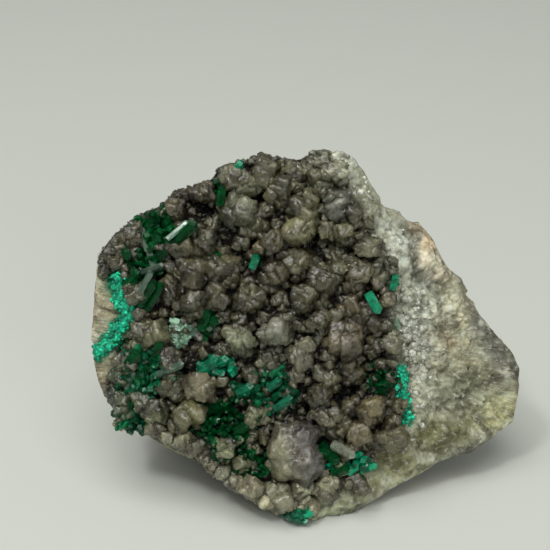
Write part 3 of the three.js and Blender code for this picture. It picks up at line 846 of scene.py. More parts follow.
rockTones = {
    "cream": colour(172, 168, 142), "grey": colour(136, 136, 122), "brown": colour(120, 104, 82),
    "under": colour(92, 84, 74), "underStripe": colour(130, 108, 82),
    # groove is painted shade, a darker colour along the groove
    "vein": colour(204, 202, 184), "spot": colour(92, 90, 78), "groove": colour(84, 82, 70),
    "balance": (0.98, 1.03, 1),
    "share": 0.6,            # how much of a tone is laid over the others
    "underShare": 0.8,
    "brokenShare": 0.35,     # from grain to grain
    "ragged": 1.4,           # mm by which the zones' edges stray
    "grooveWidth": 0.9,
}


# Colour of the bare rock: cream, grey and brown drift into each other all round; on the seen
# side the zones lie over that as ragged bell shapes. Underneath it is browner and striped.
# Pale veins, grey spots, the groove's painted shade and broken grains are laid over all of it.
def rockTint(points, picture, normals):
    tones = rockTones
    drift = layeredNoise(points, 17, 3, 3.1)[:, None]
    fleck = layeredNoise(points, 6, 3, 9.4)[:, None]
    tint = mixed(tones["cream"], tones["grey"], smoothStep(drift, -0.25, 0.4))
    tint = mixed(tint, tones["brown"], tones["share"] * smoothStep(fleck, 0.25, 0.75))
    under = smoothStep(-normals[:, 2:3], 0.25, 0.8)
    stripe = smoothStep(layeredNoise(points * (1, 1, 0.25), 2.6, 3, 5.5)[:, None], -0.5, 0.5)
    striped = mixed(tones["under"], tones["underStripe"], stripe)
    tint = mixed(tint, striped, tones["underShare"] * under)
    seenShare = smoothStep(facingEye(points, normals), -0.05, 0.25)[:, None]
    ragged = picture + tones["ragged"] * wander(points, 3.5, 3, (1.7, 6.9))
    for across, up, wide, high, turn, shade, strength in rockZones:
        angle = math.radians(turn)
        arm = ragged - (across, up)
        x = (arm @ (math.cos(angle), math.sin(angle))) / wide
        y = (arm @ (-math.sin(angle), math.cos(angle))) / high
        share = strength * seenShare * np.exp(-(x * x + y * y) ** 1.5)[:, None]
        tint = mixed(tint, colour(*shade), share)
    vein = layeredNoise(points * (1, 1, 0.7), 2.6, 3, 9.9)[:, None]
    spot = layeredNoise(points, 1.7, 3, 12.3)[:, None]
    tint = mixed(tint, tones["vein"], tones["share"] * smoothStep(vein, 0.25, 0.7))
    tint = mixed(tint, tones["spot"], tones["share"] * smoothStep(spot, 0.3, 0.8))
    # Painted shade along the groove
    beside = courseDistance(ragged, grooveCourse)[:, None] / tones["grooveWidth"]
    tint = mixed(tint, tones["groove"], tones["share"] * seenShare * np.exp(-beside ** 2))
    broken = 1 + tones["brokenShare"] * facetNoise(points, 1.1, 1, 6.4)[1][:, None]
    return seamStained(tint * broken * tones["balance"], points, picture, seenShare)


reliefForm = {
    "lumps": 0.4,            # heights in mm
    "facets": 0.9,
    "chips": 0.3,
    "creases": 0.4,
    "creaseWidth": 0.14,     # of the noise's values
    "grit": 0.14,
    "ridges": 0.35,          # upright, on the left rim
    "knobs": 0.35,           # on the sugary rim
    "groove": 1.1,
    "grooveWidth": 0.8,
    "swell": (30.6, 6, 3, 0.7),    # the tan piece beside the groove: across, up, width, height
    "sunk": 0.35,            # all of it lies a little inside the worn block
}


# Fine relief of the bare rock, the sum of broken facets of two sizes, lumps, sharp creases
# where soft noise passes through 0, grit, ridges, knobs and the groove
def rockRelief(points, picture):
    form = reliefForm
    lumps = form["lumps"] * layeredNoise(points, 4.2, 3, 2.2)
    facets = form["facets"] * facetNoise(points, 3.6, 0.9, 2.7)[0]
    broken = facets + form["chips"] * facetNoise(points, 1.3, 1, 5.1)[0]
    width = form["creaseWidth"]
    creases = -form["creases"] * np.maximum(0, width - abs(layeredNoise(points, 6.5, 2, 8.8))) / width
    grit = form["grit"] * layeredNoise(points, 0.8, 2, 4.6)
    ridged = smoothStep(-picture[:, 0], 30, 34)
    ridges = ridged * form["ridges"] * layeredNoise(points * (1, 1, 0.22), 1.3, 2, 6.1)
    rim = smoothStep(-courseDistance(picture, rimCourse), -5, -2)
    knobs = rim * form["knobs"] * facetNoise(points, 0.9, 1.2, 7.7)[0]
    beside = courseDistance(picture + 0.5 * layeredNoise(points, 2, 2, 3.9)[:, None], grooveCourse)
    across, up, wide, high = form["swell"]
    swell = high * np.exp(-((picture - (across, up)) ** 2).sum(1) / wide ** 2)
    groove = form["groove"] * np.exp(-(beside / form["grooveWidth"]) ** 2) - swell
    return lumps + broken + creases + grit * (1 + rim) + ridges + knobs - groove - form["sunk"]


# The rock's surface with its relief, sunk along the line of sight for the druse's bed; what
# would lie below the foot is drawn up to it along the way to the heart
def makeCountryRock():
    form = rockForm
    directions, quads = ballGrid(form["grid"], form["gather"], form["gridToward"])
    rock = rockSurface(unit(directions * form["gridReach"]))
    relief = rockRelief(rock["surface"], rock["picture"]) * rock["bare"]
    sunk = form["bedDepth"] * rock["bed"] + form["underBed"] * rock["bed"] ** 2
    points = rock["surface"] + rock["normal"] * relief[:, None] + np.outer(sunk, forward)
    inset, ragged = form["inset"]
    points = drawnIn(points, inset + ragged * layeredNoise(points, 2.4, 2, 5.7))
    low = points[:, 2] < 0
    points[low] = heart + (points[low] - heart) * (heart[2] / (heart[2] - points[low, 2]))[:, None]
    normals = gridNormals(points, quads)[0]
    tint = rockTint(points, onPicture(points), rock["normal"])
    newPiece("country_rock", points, quads, tint, "rock", ["matrix"])
    return {"points": points, "normals": normals, "bare": rock["bare"]}


rockMesh = makeCountryRock()

print("calcite")

# Pale lip of merged crystals along the foot of the druse
lipCourse = [(-33, -30), (-26, -33), (-19, -36.5), (-13.5, -41), (-7, -45.4), (0, -49), (7, -50)]


# Nearness to the lip, from 0 to 1
def lipShare(places):
    return smoothStep(-courseDistance(places, lipCourse), -5.5, -2)


# Hollows between the crystals, dug into the bed and painted black as painted shade: across, up, width
gapPlaces = [
    (-14, 13.5, 2.6), (-16, 6, 2), (-5, 5.8, 1.4), (-2.8, 16.2, 1.5), (3, 22, 1.2), (-24, 2.4, 1.6),
    (-22.2, 0, 1.8), (9, 6.4, 2.4), (12, 3.6, 2), (-3.2, 10.2, 1.5), (14, -6.2, 1.4),
    (18.6, -10.8, 1.8), (-4.6, -11.4, 1.6), (-11.6, -27, 2.2), (-8, -28.6, 2), (-2.8, -37.4, 2.2),
    (7.8, -26, 1.8), (-5.6, -21, 1.8), (-27.2, -27, 1.6), (-23, -27.6, 1.2), (9, -12.6, 1.3),
    (16.8, -19.8, 2.6), (15.2, -22, 2), (11.6, -23.6, 1.8), (7.2, -27.6, 1.6), (14.6, -27.4, 1.3),
    (9, -30.6, 1.5), (-18.6, -19.6, 1.6), (-16.4, -12.2, 1.2), (-29.2, -24, 1.3),
    (-13.8, -13, 1.1), (14, -24.2, 2.2), (8.8, -34.4, 1.8), (13, -37, 1.4), (-24, -3, 1.6),
    (3, -9, 1.2), (20, -16, 1.6),
]

# Tones of the calcite: across, up, reach, colour
calciteTones = [
    (-9, 21.5, 4, (138, 134, 120)), (-17.5, 16.5, 6, (112, 98, 86)), (-8.6, 12.4, 4, (148, 148, 138)),
    (5, 10, 4, (136, 130, 112)), (-17, 0, 5, (116, 107, 92)), (-0.5, 3, 5, (98, 84, 70)),
    (10, 22, 5, (162, 160, 154)), (14, 15, 3, (142, 140, 150)), (1, -11.6, 4.5, (160, 157, 156)),
    (-6.8, -13.6, 3, (160, 158, 150)), (6.5, -18, 4, (146, 140, 138)), (13.6, -13.4, 4.5, (116, 102, 92)),
    (18, -4, 5, (108, 92, 80)), (-15.4, -22, 3.5, (158, 146, 140)), (-17.6, -27.5, 4, (122, 116, 90)),
    (-30, -24, 5, (116, 128, 114)), (-24, -32, 7, (124, 124, 106)), (1.6, -34.6, 3, (204, 196, 162)),
    (7, -32.6, 4, (150, 147, 150)), (6.8, -38.6, 2.6, (172, 168, 162)), (-8, -34, 5, (158, 160, 144)),
    (19, -29, 6, (124, 110, 92)), (-30, 5, 5, (122, 114, 104)), (-29, -6, 5, (136, 128, 118)),
    (-27, -13, 4, (138, 134, 118)), (3, -43, 8, (174, 169, 162)), (22, 4, 4, (150, 148, 142)),
    (24, -14, 4, (150, 146, 138)), (-4, -27, 4, (136, 134, 120)), (9, -44, 4.5, (202, 194, 186)),
    (11, 24, 4, (172, 170, 164)),
]
calcitePaint = {
    "base": colour(106, 100, 86), "lip": colour(204, 194, 186), "strength": 0.85,
    "duller": 0.16,              # to the left, over this stretch
    "dullerOver": (1, 13),
    "spread": 0.15,              # from crystal to crystal, by a bell curve cut off at its ends
    "spreadEnds": (-2, 1.3),
    "hueSpread": 0.012,
    "gain": 0.74,
    "balance": (0.98, 1.04, 0.75),
}


# Colour of a crystal by its place: a smoky brown-grey, drawn to the tones round it by bell
# shapes and to the lip's by the nearness to it, and duller to the left
def calciteTint(places, random):
    paint = calcitePaint
    strength = paint["strength"]
    tint = np.tile(paint["base"], (len(places), 1))
    for across, up, reach, shade in calciteTones:
        offset = ((places - (across, up)) ** 2).sum(1) / reach ** 2
        tint = mixed(tint, colour(*shade), strength * np.exp(-offset)[:, None])
    tint = mixed(tint, paint["lip"], strength * lipShare(places)[:, None])
    tint = tint * (1 - paint["duller"] * smoothStep(-places[:, :1], *paint["dullerOver"]))
    jitter = np.clip(random.standard_normal((len(places), 1)), *paint["spreadEnds"])
    jitter = 1 + paint["spread"] * jitter
    jitter = jitter + paint["hueSpread"] * random.standard_normal((len(places), 3))
    return np.clip(tint * jitter * paint["gain"] * paint["balance"], 0.004, 0.9)


# Nearness to the hollows, which are painted black as painted shade, from 0 to 1, with flat-topped bell
# shapes
def gapShare(places):
    share = np.zeros(len(places))
    for across, up, wide in gapPlaces:
        share = np.maximum(share, np.exp(-(((places - (across, up)) ** 2).sum(1) / wide ** 2) ** 2))
    return share


bedForm = {
    "grid": 236, "gather": 0.5,
    "buried": 6,             # how deep it dives into the rock past the druse
    "divesOver": (-1, 2),    # mm inside the druse's outline
    "edgeOver": (-4, 1),     # mm outside it
    "inset": (0.7, 0.4),     # mm that it keeps inside the specimen's outline, and how ragged
    "dug": 2.6,              # in the black hollows
    "rough": 0.55, "facets": 0.5,
    "thinner": 0.6,          # share of the skin that is missing at the druse's edge
    "lowest": 0.3,
    # dark and hollow are painted shade: the bed's near-black colour and the blacker one in the hollows
    "dark": colour(24, 21, 16), "hollow": colour(6, 6, 5), "lip": colour(160, 158, 138),
}


# The bed that the crystals stand on: the rock's hollow raised by the calcite's skin, dug
# out in the hollows and rough all over; past the druse it dives into the rock. Its near-black
# colour, blacker still in the hollows, is painted shade.
def makeBed():
    form = bedForm
    directions, quads = ballGrid(form["grid"], form["gather"], -forward)
    rock = rockSurface(directions)
    surface, picture, inside = rock["surface"], rock["picture"], rock["inside"]
    buried = form["buried"] * (1 - smoothStep(inside, *form["divesOver"]) * rock["turned"]) ** 2
    rough = form["rough"] * layeredNoise(surface, 2.1, 3, 7.7)
    rough = rough + form["facets"] * facetNoise(surface, 1.9, 1, 3.9)[0]
    hollow = gapShare(picture) * rock["bed"]
    points = surface + np.outer(rockForm["bedDepth"] * rock["bed"] + form["dug"] * hollow, forward)
    edge = smoothStep(-inside, *form["edgeOver"])
    skin = rockForm["skin"] * (1 - form["thinner"] * edge) + rough
    points = points + rock["normal"] * skin[:, None] - directions * buried[:, None]
    inset, ragged = form["inset"]
    points = drawnIn(points, inset + ragged * layeredNoise(points, 2.4, 2, 5.7))
    points[:, 2] = np.maximum(points[:, 2], form["lowest"])
    normals, areas = gridNormals(points, quads)
    # Painted shade: near-black all over the bed, blacker in the hollows
    dark = mixed(form["dark"], form["hollow"], hollow[:, None])
    lip = lipShare(picture + layeredNoise(surface, 3, 2, 2.9)[:, None])
    tint = mixed(dark, form["lip"], np.maximum(edge, lip)[:, None])
    tint = seamStained(tint, surface, picture, rock["turned"][:, None])
    newPiece("calcite_bed", points, quads, tint, "bed", ["calcite_crust"])
    return {
        "points": points, "normals": normals, "area": np.linalg.norm(areas, axis=1),
        "cover": 1 - buried / form["buried"], "inside": inside, "hollow": hollow,
    }


bedMesh = makeBed()


# Finding what the front shows at a picture place: of the points that look towards the eye
# and lie nearest to it in the picture, the one nearest to the eye is taken, and the place is
# carried along its sight line to the plane that touches the surface there.
class FrontFinder:
    leastFacing = 0.02     # cosine to the eye
    nearby = 12            # points that are weighed up
    awayWeight = 2         # depth that a millimetre aside in the picture counts for
    farthest = 1.5         # mm between the plane's point and the mesh's

    def __init__(self, meshes):
        points = np.concatenate([mesh["points"] for mesh in meshes])
        normals = np.concatenate([mesh["normals"] for mesh in meshes])
        facing = facingEye(points, normals) > self.leastFacing
        self.points, self.normals = points[facing], normals[facing]
        self.picture = onPicture(self.points)
        self.depth = (self.points - eye) @ forward
        self.tree = kdtree.KDTree(len(self.points))
        for k, (across, up) in enumerate(self.picture.tolist()):
            self.tree.insert((across, up, 0), k)
        self.tree.balance()

    def at(self, places):
        found = []
        for across, up in places.tolist():
            near = self.tree.find_n((across, up, 0), self.nearby)
            found.append(min((self.depth[k] + self.awayWeight * away, k) for _, k, away in near)[1])
        points, normals = self.points[found], self.normals[found]
        ray = sightLines(places)
        reach = ((points - eye) * normals).sum(1) / (ray * normals).sum(1)
        exact = eye + ray * reach[:, None]
        close = np.linalg.norm(exact - points, axis=1) < self.farthest
        return np.where(close[:, None], exact, points), normals


front = FrontFinder([rockMesh, bedMesh])


# Forms that are repeated

# Turning frames whose third axis is the given one, spun about it
def framesAlong(axes, spins):
    side = unit(np.cross(axes, (0.21, 0.93, 0.31)))     # square to a way that no axis takes
    other = np.cross(axes, side)
    c, s = np.cos(spins)[:, None], np.sin(spins)[:, None]
    return np.stack([c * side + s * other, c * other - s * side, axes], axis=1)


# Directions within a cone about each normal
def leaning(normals, most, random):
    frames = framesAlong(normals, random.uniform(0, 2 * math.pi, len(normals)))
    lean = np.tan(most * random.random(len(normals)) ** 0.7)
    return unit(normals + frames[:, 0] * lean[:, None])


# Frames along directions within a cone about each normal, spun by chance
def strewnFrames(normals, most, random):
    return framesAlong(leaning(normals, most, random), random.uniform(0, fullTurn, len(normals)))


# Chance sizes between two, with more near the low one the higher the bias, a power, is
def chanceSizes(span, bias, count, random):
    low, high = span
    return low + (high - low) * random.random(count) ** bias


# Copies of a form: local points of each copy, turned by its frame and moved to its place
def setInPlace(local, frames, places):
    return np.einsum("kmi,kij->kmj", local, frames) + places[:, None, :]


crystalHabit = {
    "tips": (0.8, 1.35),     # nearness of the pair of faces that cuts off the tips
    "corners": (0.85, 1.2),  # the same for the pairs that cut off the corners
    "lumps": 0.8,            # parts of the dents
    "chips": 1.8,
    "steps": (0.1, 0.6),
    "stepWaves": (14, 12),
    "squeeze": (0.82, 1.18),
    "apart": 40,             # how far apart the noise of the copies is taken
}


# Worn crystals of calcite on a folded ball of directions. The nearnesses of three kinds of
# faces are joined by a power, which rounds the edges: the three pairs of the rhomb, a pair
# that cuts off its tips and three pairs that cut off its corners. Noise, chips and steps dent
# them.
def wornCrystals(directions, radii, form, random):
    habit = crystalHabit
    count = len(radii)
    heights = uniform(random, *form["height"], count)[:, None]
    power = uniform(random, *form["power"], count)[:, None, None]
    tips = uniform(random, *habit["tips"], count)[:, None]
    corners = uniform(random, *habit["corners"], count)[:, None, None]
    angles = np.radians([60, 180, 300])
    aslant = directions[:, :2] @ np.array([np.cos(angles), np.sin(angles)])
    upright = directions[:, :2] @ np.array([np.cos(angles + math.pi), np.sin(angles + math.pi)])
    rise = directions[:, 2] / heights
    faces = [abs(aslant * 4 / 3 + rise[..., None]), abs(tips * rise)[..., None], abs(corners * upright)]
    nearness = np.concatenate(faces, axis=-1)
    reach = (nearness ** power).sum(-1) ** (-1 / power[..., 0])
    points = directions * reach[..., None]
    shift = random.uniform(0, habit["apart"], (count, 1, 3))
    lumps = habit["lumps"] * layeredNoise(points + shift, 1.2, 3)
    relief = lumps + habit["chips"] * facetNoise(points + shift, 0.66, 0.9)[0]
    stepped = random.uniform(*habit["steps"], (count, 1))
    first, second = habit["stepWaves"]
    across = np.sin(nearness[..., 0] * reach * first + shift[..., 0])
    relief = relief + stepped * across * np.sin(nearness[..., 1] * reach * second + shift[..., 1])
    squeeze = random.uniform(*habit["squeeze"], (count, 1, 3))
    return points * squeeze * (1 + form["dents"] * relief)[..., None] * radii[:, None, None]


# Large crystals of the calcite: across, up, visible radius
calciteLumps = [
    (-9, 19.2, 2.6), (-1.8, 20.4, 2.8), (4.2, 20.4, 2.4), (-6, 17.4, 2.4), (-13.6, 17.4, 2.2),
    (-20.6, 14, 2.2), (-8.6, 12.4, 2.9), (-4, 12, 2.1), (0.8, 16.4, 2.5), (5, 13.6, 2.6),
    (5.6, 9, 2.8), (10.4, 9.6, 2.3), (8.6, 17.4, 2.4), (12, 20.4, 2.5), (13, 14, 2.4),
    (14, 8, 2.5), (13.2, 3.6, 2.2), (-0.6, 6.4, 2.5), (-9.6, 2.2, 2.7), (-17, 0.4, 3),
    (-20.8, -4.6, 2.5), (-16.2, -6, 2.9), (-11.8, -4, 2.3), (-6, -4.6, 2.6), (-0.4, 0.4, 2.6),
    (4.4, 2.8, 2.5), (8.8, -1, 2.5), (17, 0.2, 2.6), (13.8, -5, 2.4), (5.2, -5, 2.5),
    (1, -11.6, 3.4), (-6.8, -13.6, 2.6), (5.4, -17, 3), (8.6, -23.4, 2.7), (13.6, -13.4, 3.5),
    (18.6, -8.4, 2.8), (14.6, -19.4, 2.4), (10.4, -28, 2.5), (20, -27, 2.6),
    (17, -31, 2.8), (1, -44, 2.6), (-5, -43, 2.4),
    (-15.4, -22, 3), (-20.4, -22.4, 2.3), (-17.6, -27.4, 2.9), (-22.6, -27.4, 2.3), (-25, -12.4, 2.9),
    (-29.4, -17, 2.2), (-27.6, -4, 2), (-32.4, 2.4, 2.1), (-28, 8, 2.1), (-9.8, -34.6, 2.2),
    (-6.6, -37.2, 1.9), (22, -33, 2.6), (16, -41, 2.5), (10.6, -43.4, 2.3), (18.6, 6, 2.5),
    (23, -13.6, 2.2), (-31.4, -24.6, 2.2), (-24, -32, 2.1), (-4.4, -32, 1.5), (-21.6, -16.8, 2.2),
    (-14, 7, 2.5), (-19.4, 5, 2.3), (9, -8.6, 2.3), (-4, -27.2, 2.1), (-18, -34.6, 2.1),
    (-27, -10.4, 2), (-26.4, -24.8, 2.3),
]

# Smaller ones between them: across, up, visible radius
calciteKnobs = [
    (2, 22, 2), (5, 20.6, 2), (-7.4, 17, 1.8), (-3.4, 19, 2), (-16, 16.6, 1.7), (-18.6, 15.6, 1.7),
    (-4.6, 12, 1.8), (0.6, 16.6, 1.9), (3, 18, 1.8), (1.4, 15, 1.7), (10.4, 17, 2), (11, 20.6, 2),
    (7.4, 22, 1.8), (13, 14.6, 2), (14, 8, 2), (13.4, 4.6, 1.8), (-2, 5.6, 1.9), (-7, 6.6, 1.6),
    (-10, 4.6, 1.5), (-11.4, 2.6, 1.7), (-18.4, 0, 2), (-17, -7, 2), (-12.6, -5, 2), (-7, -4.6, 2.1),
    (-4, -5, 1.9), (-0.6, 0, 2.1), (3, 2.6, 1.8), (5, 0.6, 1.8), (7, 2, 1.8), (9.4, 0.6, 1.7),
    (11, 2.6, 1.5), (12.6, 1, 1.6), (15.4, 2, 1.6), (16.4, -2, 2), (15, -5, 2), (10, -3, 1.8),
    (6, -5, 2), (8.6, -6, 1.7), (1.6, -5, 1.8), (-2, -8.6, 1.7), (7.8, -12, 2), (5, -15.4, 2.2),
    (11, -14, 2), (15.4, -11, 2.1), (18, -7, 2.3), (20.6, -14, 2.2), (14, -19, 2), (11.4, -20.4, 1.8),
    (-0.6, -16.6, 1.8), (-5, -19, 1.7), (3.4, -20, 1.8), (10, -26.4, 2),
    (15.4, -26.6, 2.1), (19.4, -26, 2.1), (14, -30, 2), (11.4, -28, 1.7), (8.6, -28, 1.6),
    (10, -30.6, 1.7), (12.6, -32.4, 1.7), (5, -43.4, 2), (1, -44.4, 2.1), (-1.4, -45, 1.9),
    (-8, -41.4, 2), (-2.6, -31, 1.3), (-4, -34.6, 1.1), (-12, -25, 1.5), (-20, -23, 1.8),
    (-22, -27, 1.9), (-19.4, -30, 1.8), (-25, -27, 1.9), (-23.6, -29, 1.6), (-28, -14, 1.8),
    (-29, -18, 1.9), (-31.4, -20, 1.6), (-28, -3.6, 1.7), (-27, -7.4, 1.6), (-32.6, 2.6, 1.8),
    (-34.4, 1.4, 1.6), (-30.6, 5, 1.7), (-33.4, 6, 1.6), (-28, 7, 1.6), (-29, 9.4, 1.6),
    (-12, -11.4, 1.7), (-10.6, -15, 1.8), (-23, -14, 1.7), (-12.4, -33, 1.2), (-7.6, -33, 1.2),
    (-14, -38, 1.2), (-3.4, -29, 1.3), (-9, -30, 1), (-19, -35, 1.7), (-17, -36, 1.7),
    (-22, -33, 1.6), (-25, -32, 1.6), (-12, -40.6, 1.7), (-10, -43, 1.9), (-29, -25, 1.8),
    (-30, -28, 1.6), (-31.4, -24, 1.6), (20, -33, 2.2), (23, -30, 2), (24, -26, 1.6),
    (15, -35, 1.8), (13, -39, 1.8), (10, -43, 1.9), (16, -41, 1.9), (20, 1, 1.8), (22.6, 2.6, 1.7),
    (19.4, 5, 1.8), (17.4, 7, 2), (18, 10.6, 1.7), (16, 12, 1.8), (21, -2, 1.6), (22.6, -5, 1.6),
    (22, -10, 1.7), (-1.6, 12.6, 1.6), (-22.6, 12, 1.5), (-25, 12.6, 1.4), (-27, 10, 1.4),
    (-15, 9.4, 1.5), (-12, 10, 1.5), (-17, 3.4, 1.5), (-14.6, -1, 1.6), (-9, -1, 1.8),
    (1, 9.6, 1.7), (2.6, 7, 1.6), (8, 12.6, 1.8), (9.6, 6.4, 1.5), (-6, 9, 1.6), (-7, -9, 1.8),
    (-10, -8, 1.6), (3, -8, 1.5), (12, -8.6, 1.6), (16.6, -16.6, 1.6), (21.6, -18, 1.5),
]

# Separate patches of dioptase: where, how far they spread, how many prisms, how long they
# are, and their finish
patchForms = {
    "dioptase_upper_left": {"at": (-23.6, 9.2), "spread": (3.8, 4), "count": 64, "length": (1.8, 3.6)},
    "dioptase_left_blades": {"at": (-26, 0.6), "spread": (3, 5.4), "count": 46, "length": (1.8, 4)},
    "dioptase_left_rim": {"at": (-29.8, 5), "spread": (1.4, 1.6), "count": 9, "length": (1.4, 2.6)},
    "dioptase_top_notch": {"at": (-10.8, 16.6), "spread": (1, 1.8), "count": 6, "length": (1.6, 3)},
    "dioptase_top_edge": {
        "at": (-7, 22), "spread": (0.8, 0.8), "count": 4, "length": (1.4, 2.2), "finish": "bright",
    },
    "dioptase_heart": {"at": (-3.8, 3), "spread": (0.6, 0.8), "count": 4, "length": (1.6, 2.4)},
    "dioptase_left_heart": {"at": (-11, 4), "spread": (1.3, 0.8), "count": 6, "length": (1.2, 2.2)},
    "dioptase_centre_left": {"at": (-13.6, -8.8), "spread": (2, 2.6), "count": 18, "length": (1.8, 3.2)},
    "dioptase_mint": {
        "at": (-18.8, -11.6), "spread": (2.4, 2.4), "count": 120, "length": (0.7, 1.6), "finish": "mint",
        "stout": (0.4, 0.7),
    },
    "dioptase_lower_left": {
        "at": (-27, -19), "spread": (5.6, 6), "count": 170, "length": (1.4, 3.2), "finish": "clear",
        "lift": 0.7,
    },
    "dioptase_left_foot": {
        "at": (-28.2, -27.6), "spread": (4.4, 3.6), "count": 100, "length": (1.2, 2.8), "finish": "clear",
        "lift": 0.7,
    },
    "dioptase_middle": {
        "at": (-11.4, -17.6), "spread": (3.2, 2.4), "count": 44, "length": (1.2, 2.6), "finish": "bright",
        "stout": (0.3, 0.5), "bright": 0.75,
    },
    "dioptase_centre": {
        "at": (-1.6, -22.6), "spread": (6, 4.2), "count": 120, "length": (1.2, 3), "finish": "clear",
    },
    "dioptase_hollow": {
        "at": (-9.6, -29.6), "spread": (7, 6.4), "count": 240, "length": (1.2, 3), "lift": 0.7,
    },
    "dioptase_bottom_hollow": {
        "at": (-5, -38), "spread": (5.4, 3.6), "count": 100, "length": (1, 2.6), "lift": 0.5,
    },
    "dioptase_right_hollow": {"at": (21, -21), "spread": (2.6, 3.4), "count": 60, "length": (1, 2.6)},
    "dioptase_lower_right": {
        "at": (14.6, -37.4), "spread": (4.4, 2), "count": 54, "length": (1, 2.4), "finish": "bright",
        "stout": (0.3, 0.5),
    },
    "dioptase_leaf": {
        "at": (19.6, -5.6), "spread": (0.8, 0.9), "count": 5, "length": (1.6, 2.4), "finish": "bright",
    },
    "dioptase_right_edge": {
        "at": (23.8, -1), "spread": (0.5, 0.8), "count": 4, "length": (1.2, 1.8), "finish": "bright",
    },
    "dioptase_tip": {
        "at": (4.2, -48.2), "spread": (2.6, 1), "count": 70, "length": (0.7, 1.6), "finish": "bright",
        "stout": (0.35, 0.6), "bright": 0.6,
    },
}


# Nearness to the patches, from 0 to 1, with flat-topped bell shapes
def greenShare(places):
    share = np.zeros(len(places))
    for form in patchForms.values():
        offset = (((places - form["at"]) / form["spread"]) ** 2).sum(1)
        share = np.maximum(share, np.exp(-offset ** 2))
    return share


# Each crystal is a mass of blocks in nearly the same stance, sunk in each other. Sizes and
# offsets are shares of the crystal's radius; "room" is the share of a block's own radius that
# the specimen's outline leaves it.
clusterForms = {
    "calcite_crystals": {
        "places": calciteLumps, "seed": 11, "spread": 1.34, "blocks": 5, "grid": 17, "core": 0.95,
        "size": (0.5, 0.85), "offset": (0.3, 0.7), "rise": 0.3, "lean": 0.9, "twist": 0.2,
        "height": (0.75, 1.2), "power": (6, 14), "dents": 0.13, "room": (0.8, 1.1),
    },
    "calcite_knobs": {
        "places": calciteKnobs, "seed": 12, "spread": 1.3, "blocks": 4, "grid": 12, "core": 0.95,
        "size": (0.5, 0.85), "offset": (0.3, 0.75), "rise": 0.2, "lean": 1.0, "twist": 0.25,
        "height": (0.75, 1.25), "power": (6, 14), "dents": 0.13, "room": (0.8, 1.1),
    },
}
# Tone spread from block to block, then painted shade: a block's colour runs from foot at the bed to foot
# plus gain at its top, over heights in radii
clusterShade = {"spread": 0.12, "foot": 0.42, "gain": 0.7, "heights": (-0.1, 1.2)}
growthRange = 20     # how far apart the growth lines of the crystals are taken, in mm


# The blocks stand off the crystal's middle in chance directions, of which those that point
# into the bed are bent up; the first of each is the core. Their colour is darker towards the
# foot, which is painted shade.
def growCluster(name, form):
    random = np.random.default_rng(form["seed"])
    entries = np.array(form["places"])
    bed, normals = FrontFinder([bedMesh]).at(entries[:, :2])
    frames = strewnFrames(normals, form["lean"], random)
    owner = np.repeat(np.arange(len(entries)), form["blocks"])
    count = len(owner)
    first = np.arange(count) % form["blocks"] == 0
    normal, radius = normals[owner], entries[owner, 2] * form["spread"]
    out = unit(random.normal(size=(count, 3)))
    out = unit(out + normal * np.maximum(0, 0.15 - 2 * (out * normal).sum(1))[:, None])
    offset = np.where(first, 0, uniform(random, *form["offset"], count)) * radius
    middle = bed[owner] + normal * (form["rise"] * radius)[:, None] + out * offset[:, None]
    radii = np.where(first, form["core"], uniform(random, *form["size"], count)) * radius
    axes = unit(frames[owner, 2] + random.normal(0, form["twist"], (count, 3)))
    side = frames[owner, 0]
    side = unit(side - axes * (side * axes).sum(1)[:, None])
    stance = np.stack([side, np.cross(axes, side), axes], axis=1)
    directions, quads = ballGrid(form["grid"])
    local = wornCrystals(directions, radii, form, random)
    middle = drawnIn(middle, radii * uniform(random, *form["room"], count))
    points = setInPlace(local, stance, middle)
    shade = clusterShade
    tone = calciteTint(entries[:, :2], random)[owner]
    tone = tone * (1 + shade["spread"] * random.standard_normal((count, 1)))
    # Painted shade: darker at the foot of each block, lighter with its height above the bed
    height = ((points - bed[owner, None]) * normal[:, None]).sum(-1) / radius[:, None]
    light = shade["foot"] + shade["gain"] * smoothStep(height, *shade["heights"])
    tint = (tone[:, None] * light[..., None]).reshape(-1, 3)
    growth = local + growthRange * random.random((count, 1, 3))
    newPiece(name, points, quads, np.clip(tint, 0, 0.95), "smoky", ["calcite_crust"], growth)
    return points.reshape(-1, 3), unit(points - middle[:, None]).reshape(-1, 3), tint


# The largest crystal, low on the front: one mass, swollen out to balls round its heart. Each
# ball is given by its offsets across, up and towards the eye, and its radius. Cream passes
# into lavender grey to the right, with a smoky patch between them.
largestForm = {
    "at": (3.6, -35), "lift": 1.6, "join": 30, "grid": 64, "shrink": 0.96,
    "balls": [
        (-1.2, 0.4, 0.2, 4), (-1.1, -2.6, 0, 3.6), (-1.2, 2.4, -0.6, 3.5), (1.6, 2.7, -0.2, 3.8),
        (1.9, 0, 0.2, 3.2), (1.7, -2.5, 0.5, 3.6), (2.4, -3, -0.2, 4), (0, -3, -0.4, 3.6),
    ],
    "lumps": 0.6, "facets": 0.6,
    "cream": colour(144, 142, 115), "lavender": colour(101, 99, 96), "smoke": colour(92, 82, 68),
    # foot is painted shade: a darker colour laid on the crystal's side towards the bed, over footFrom mm
    "smokeAt": (4.4, -36.4), "top": colour(96, 92, 84), "foot": colour(84, 78, 64), "strength": 0.7,
    "lavenderFrom": (-0.5, 7.5), "topFrom": (-31.5, -28.5), "footFrom": (0, 3),
}


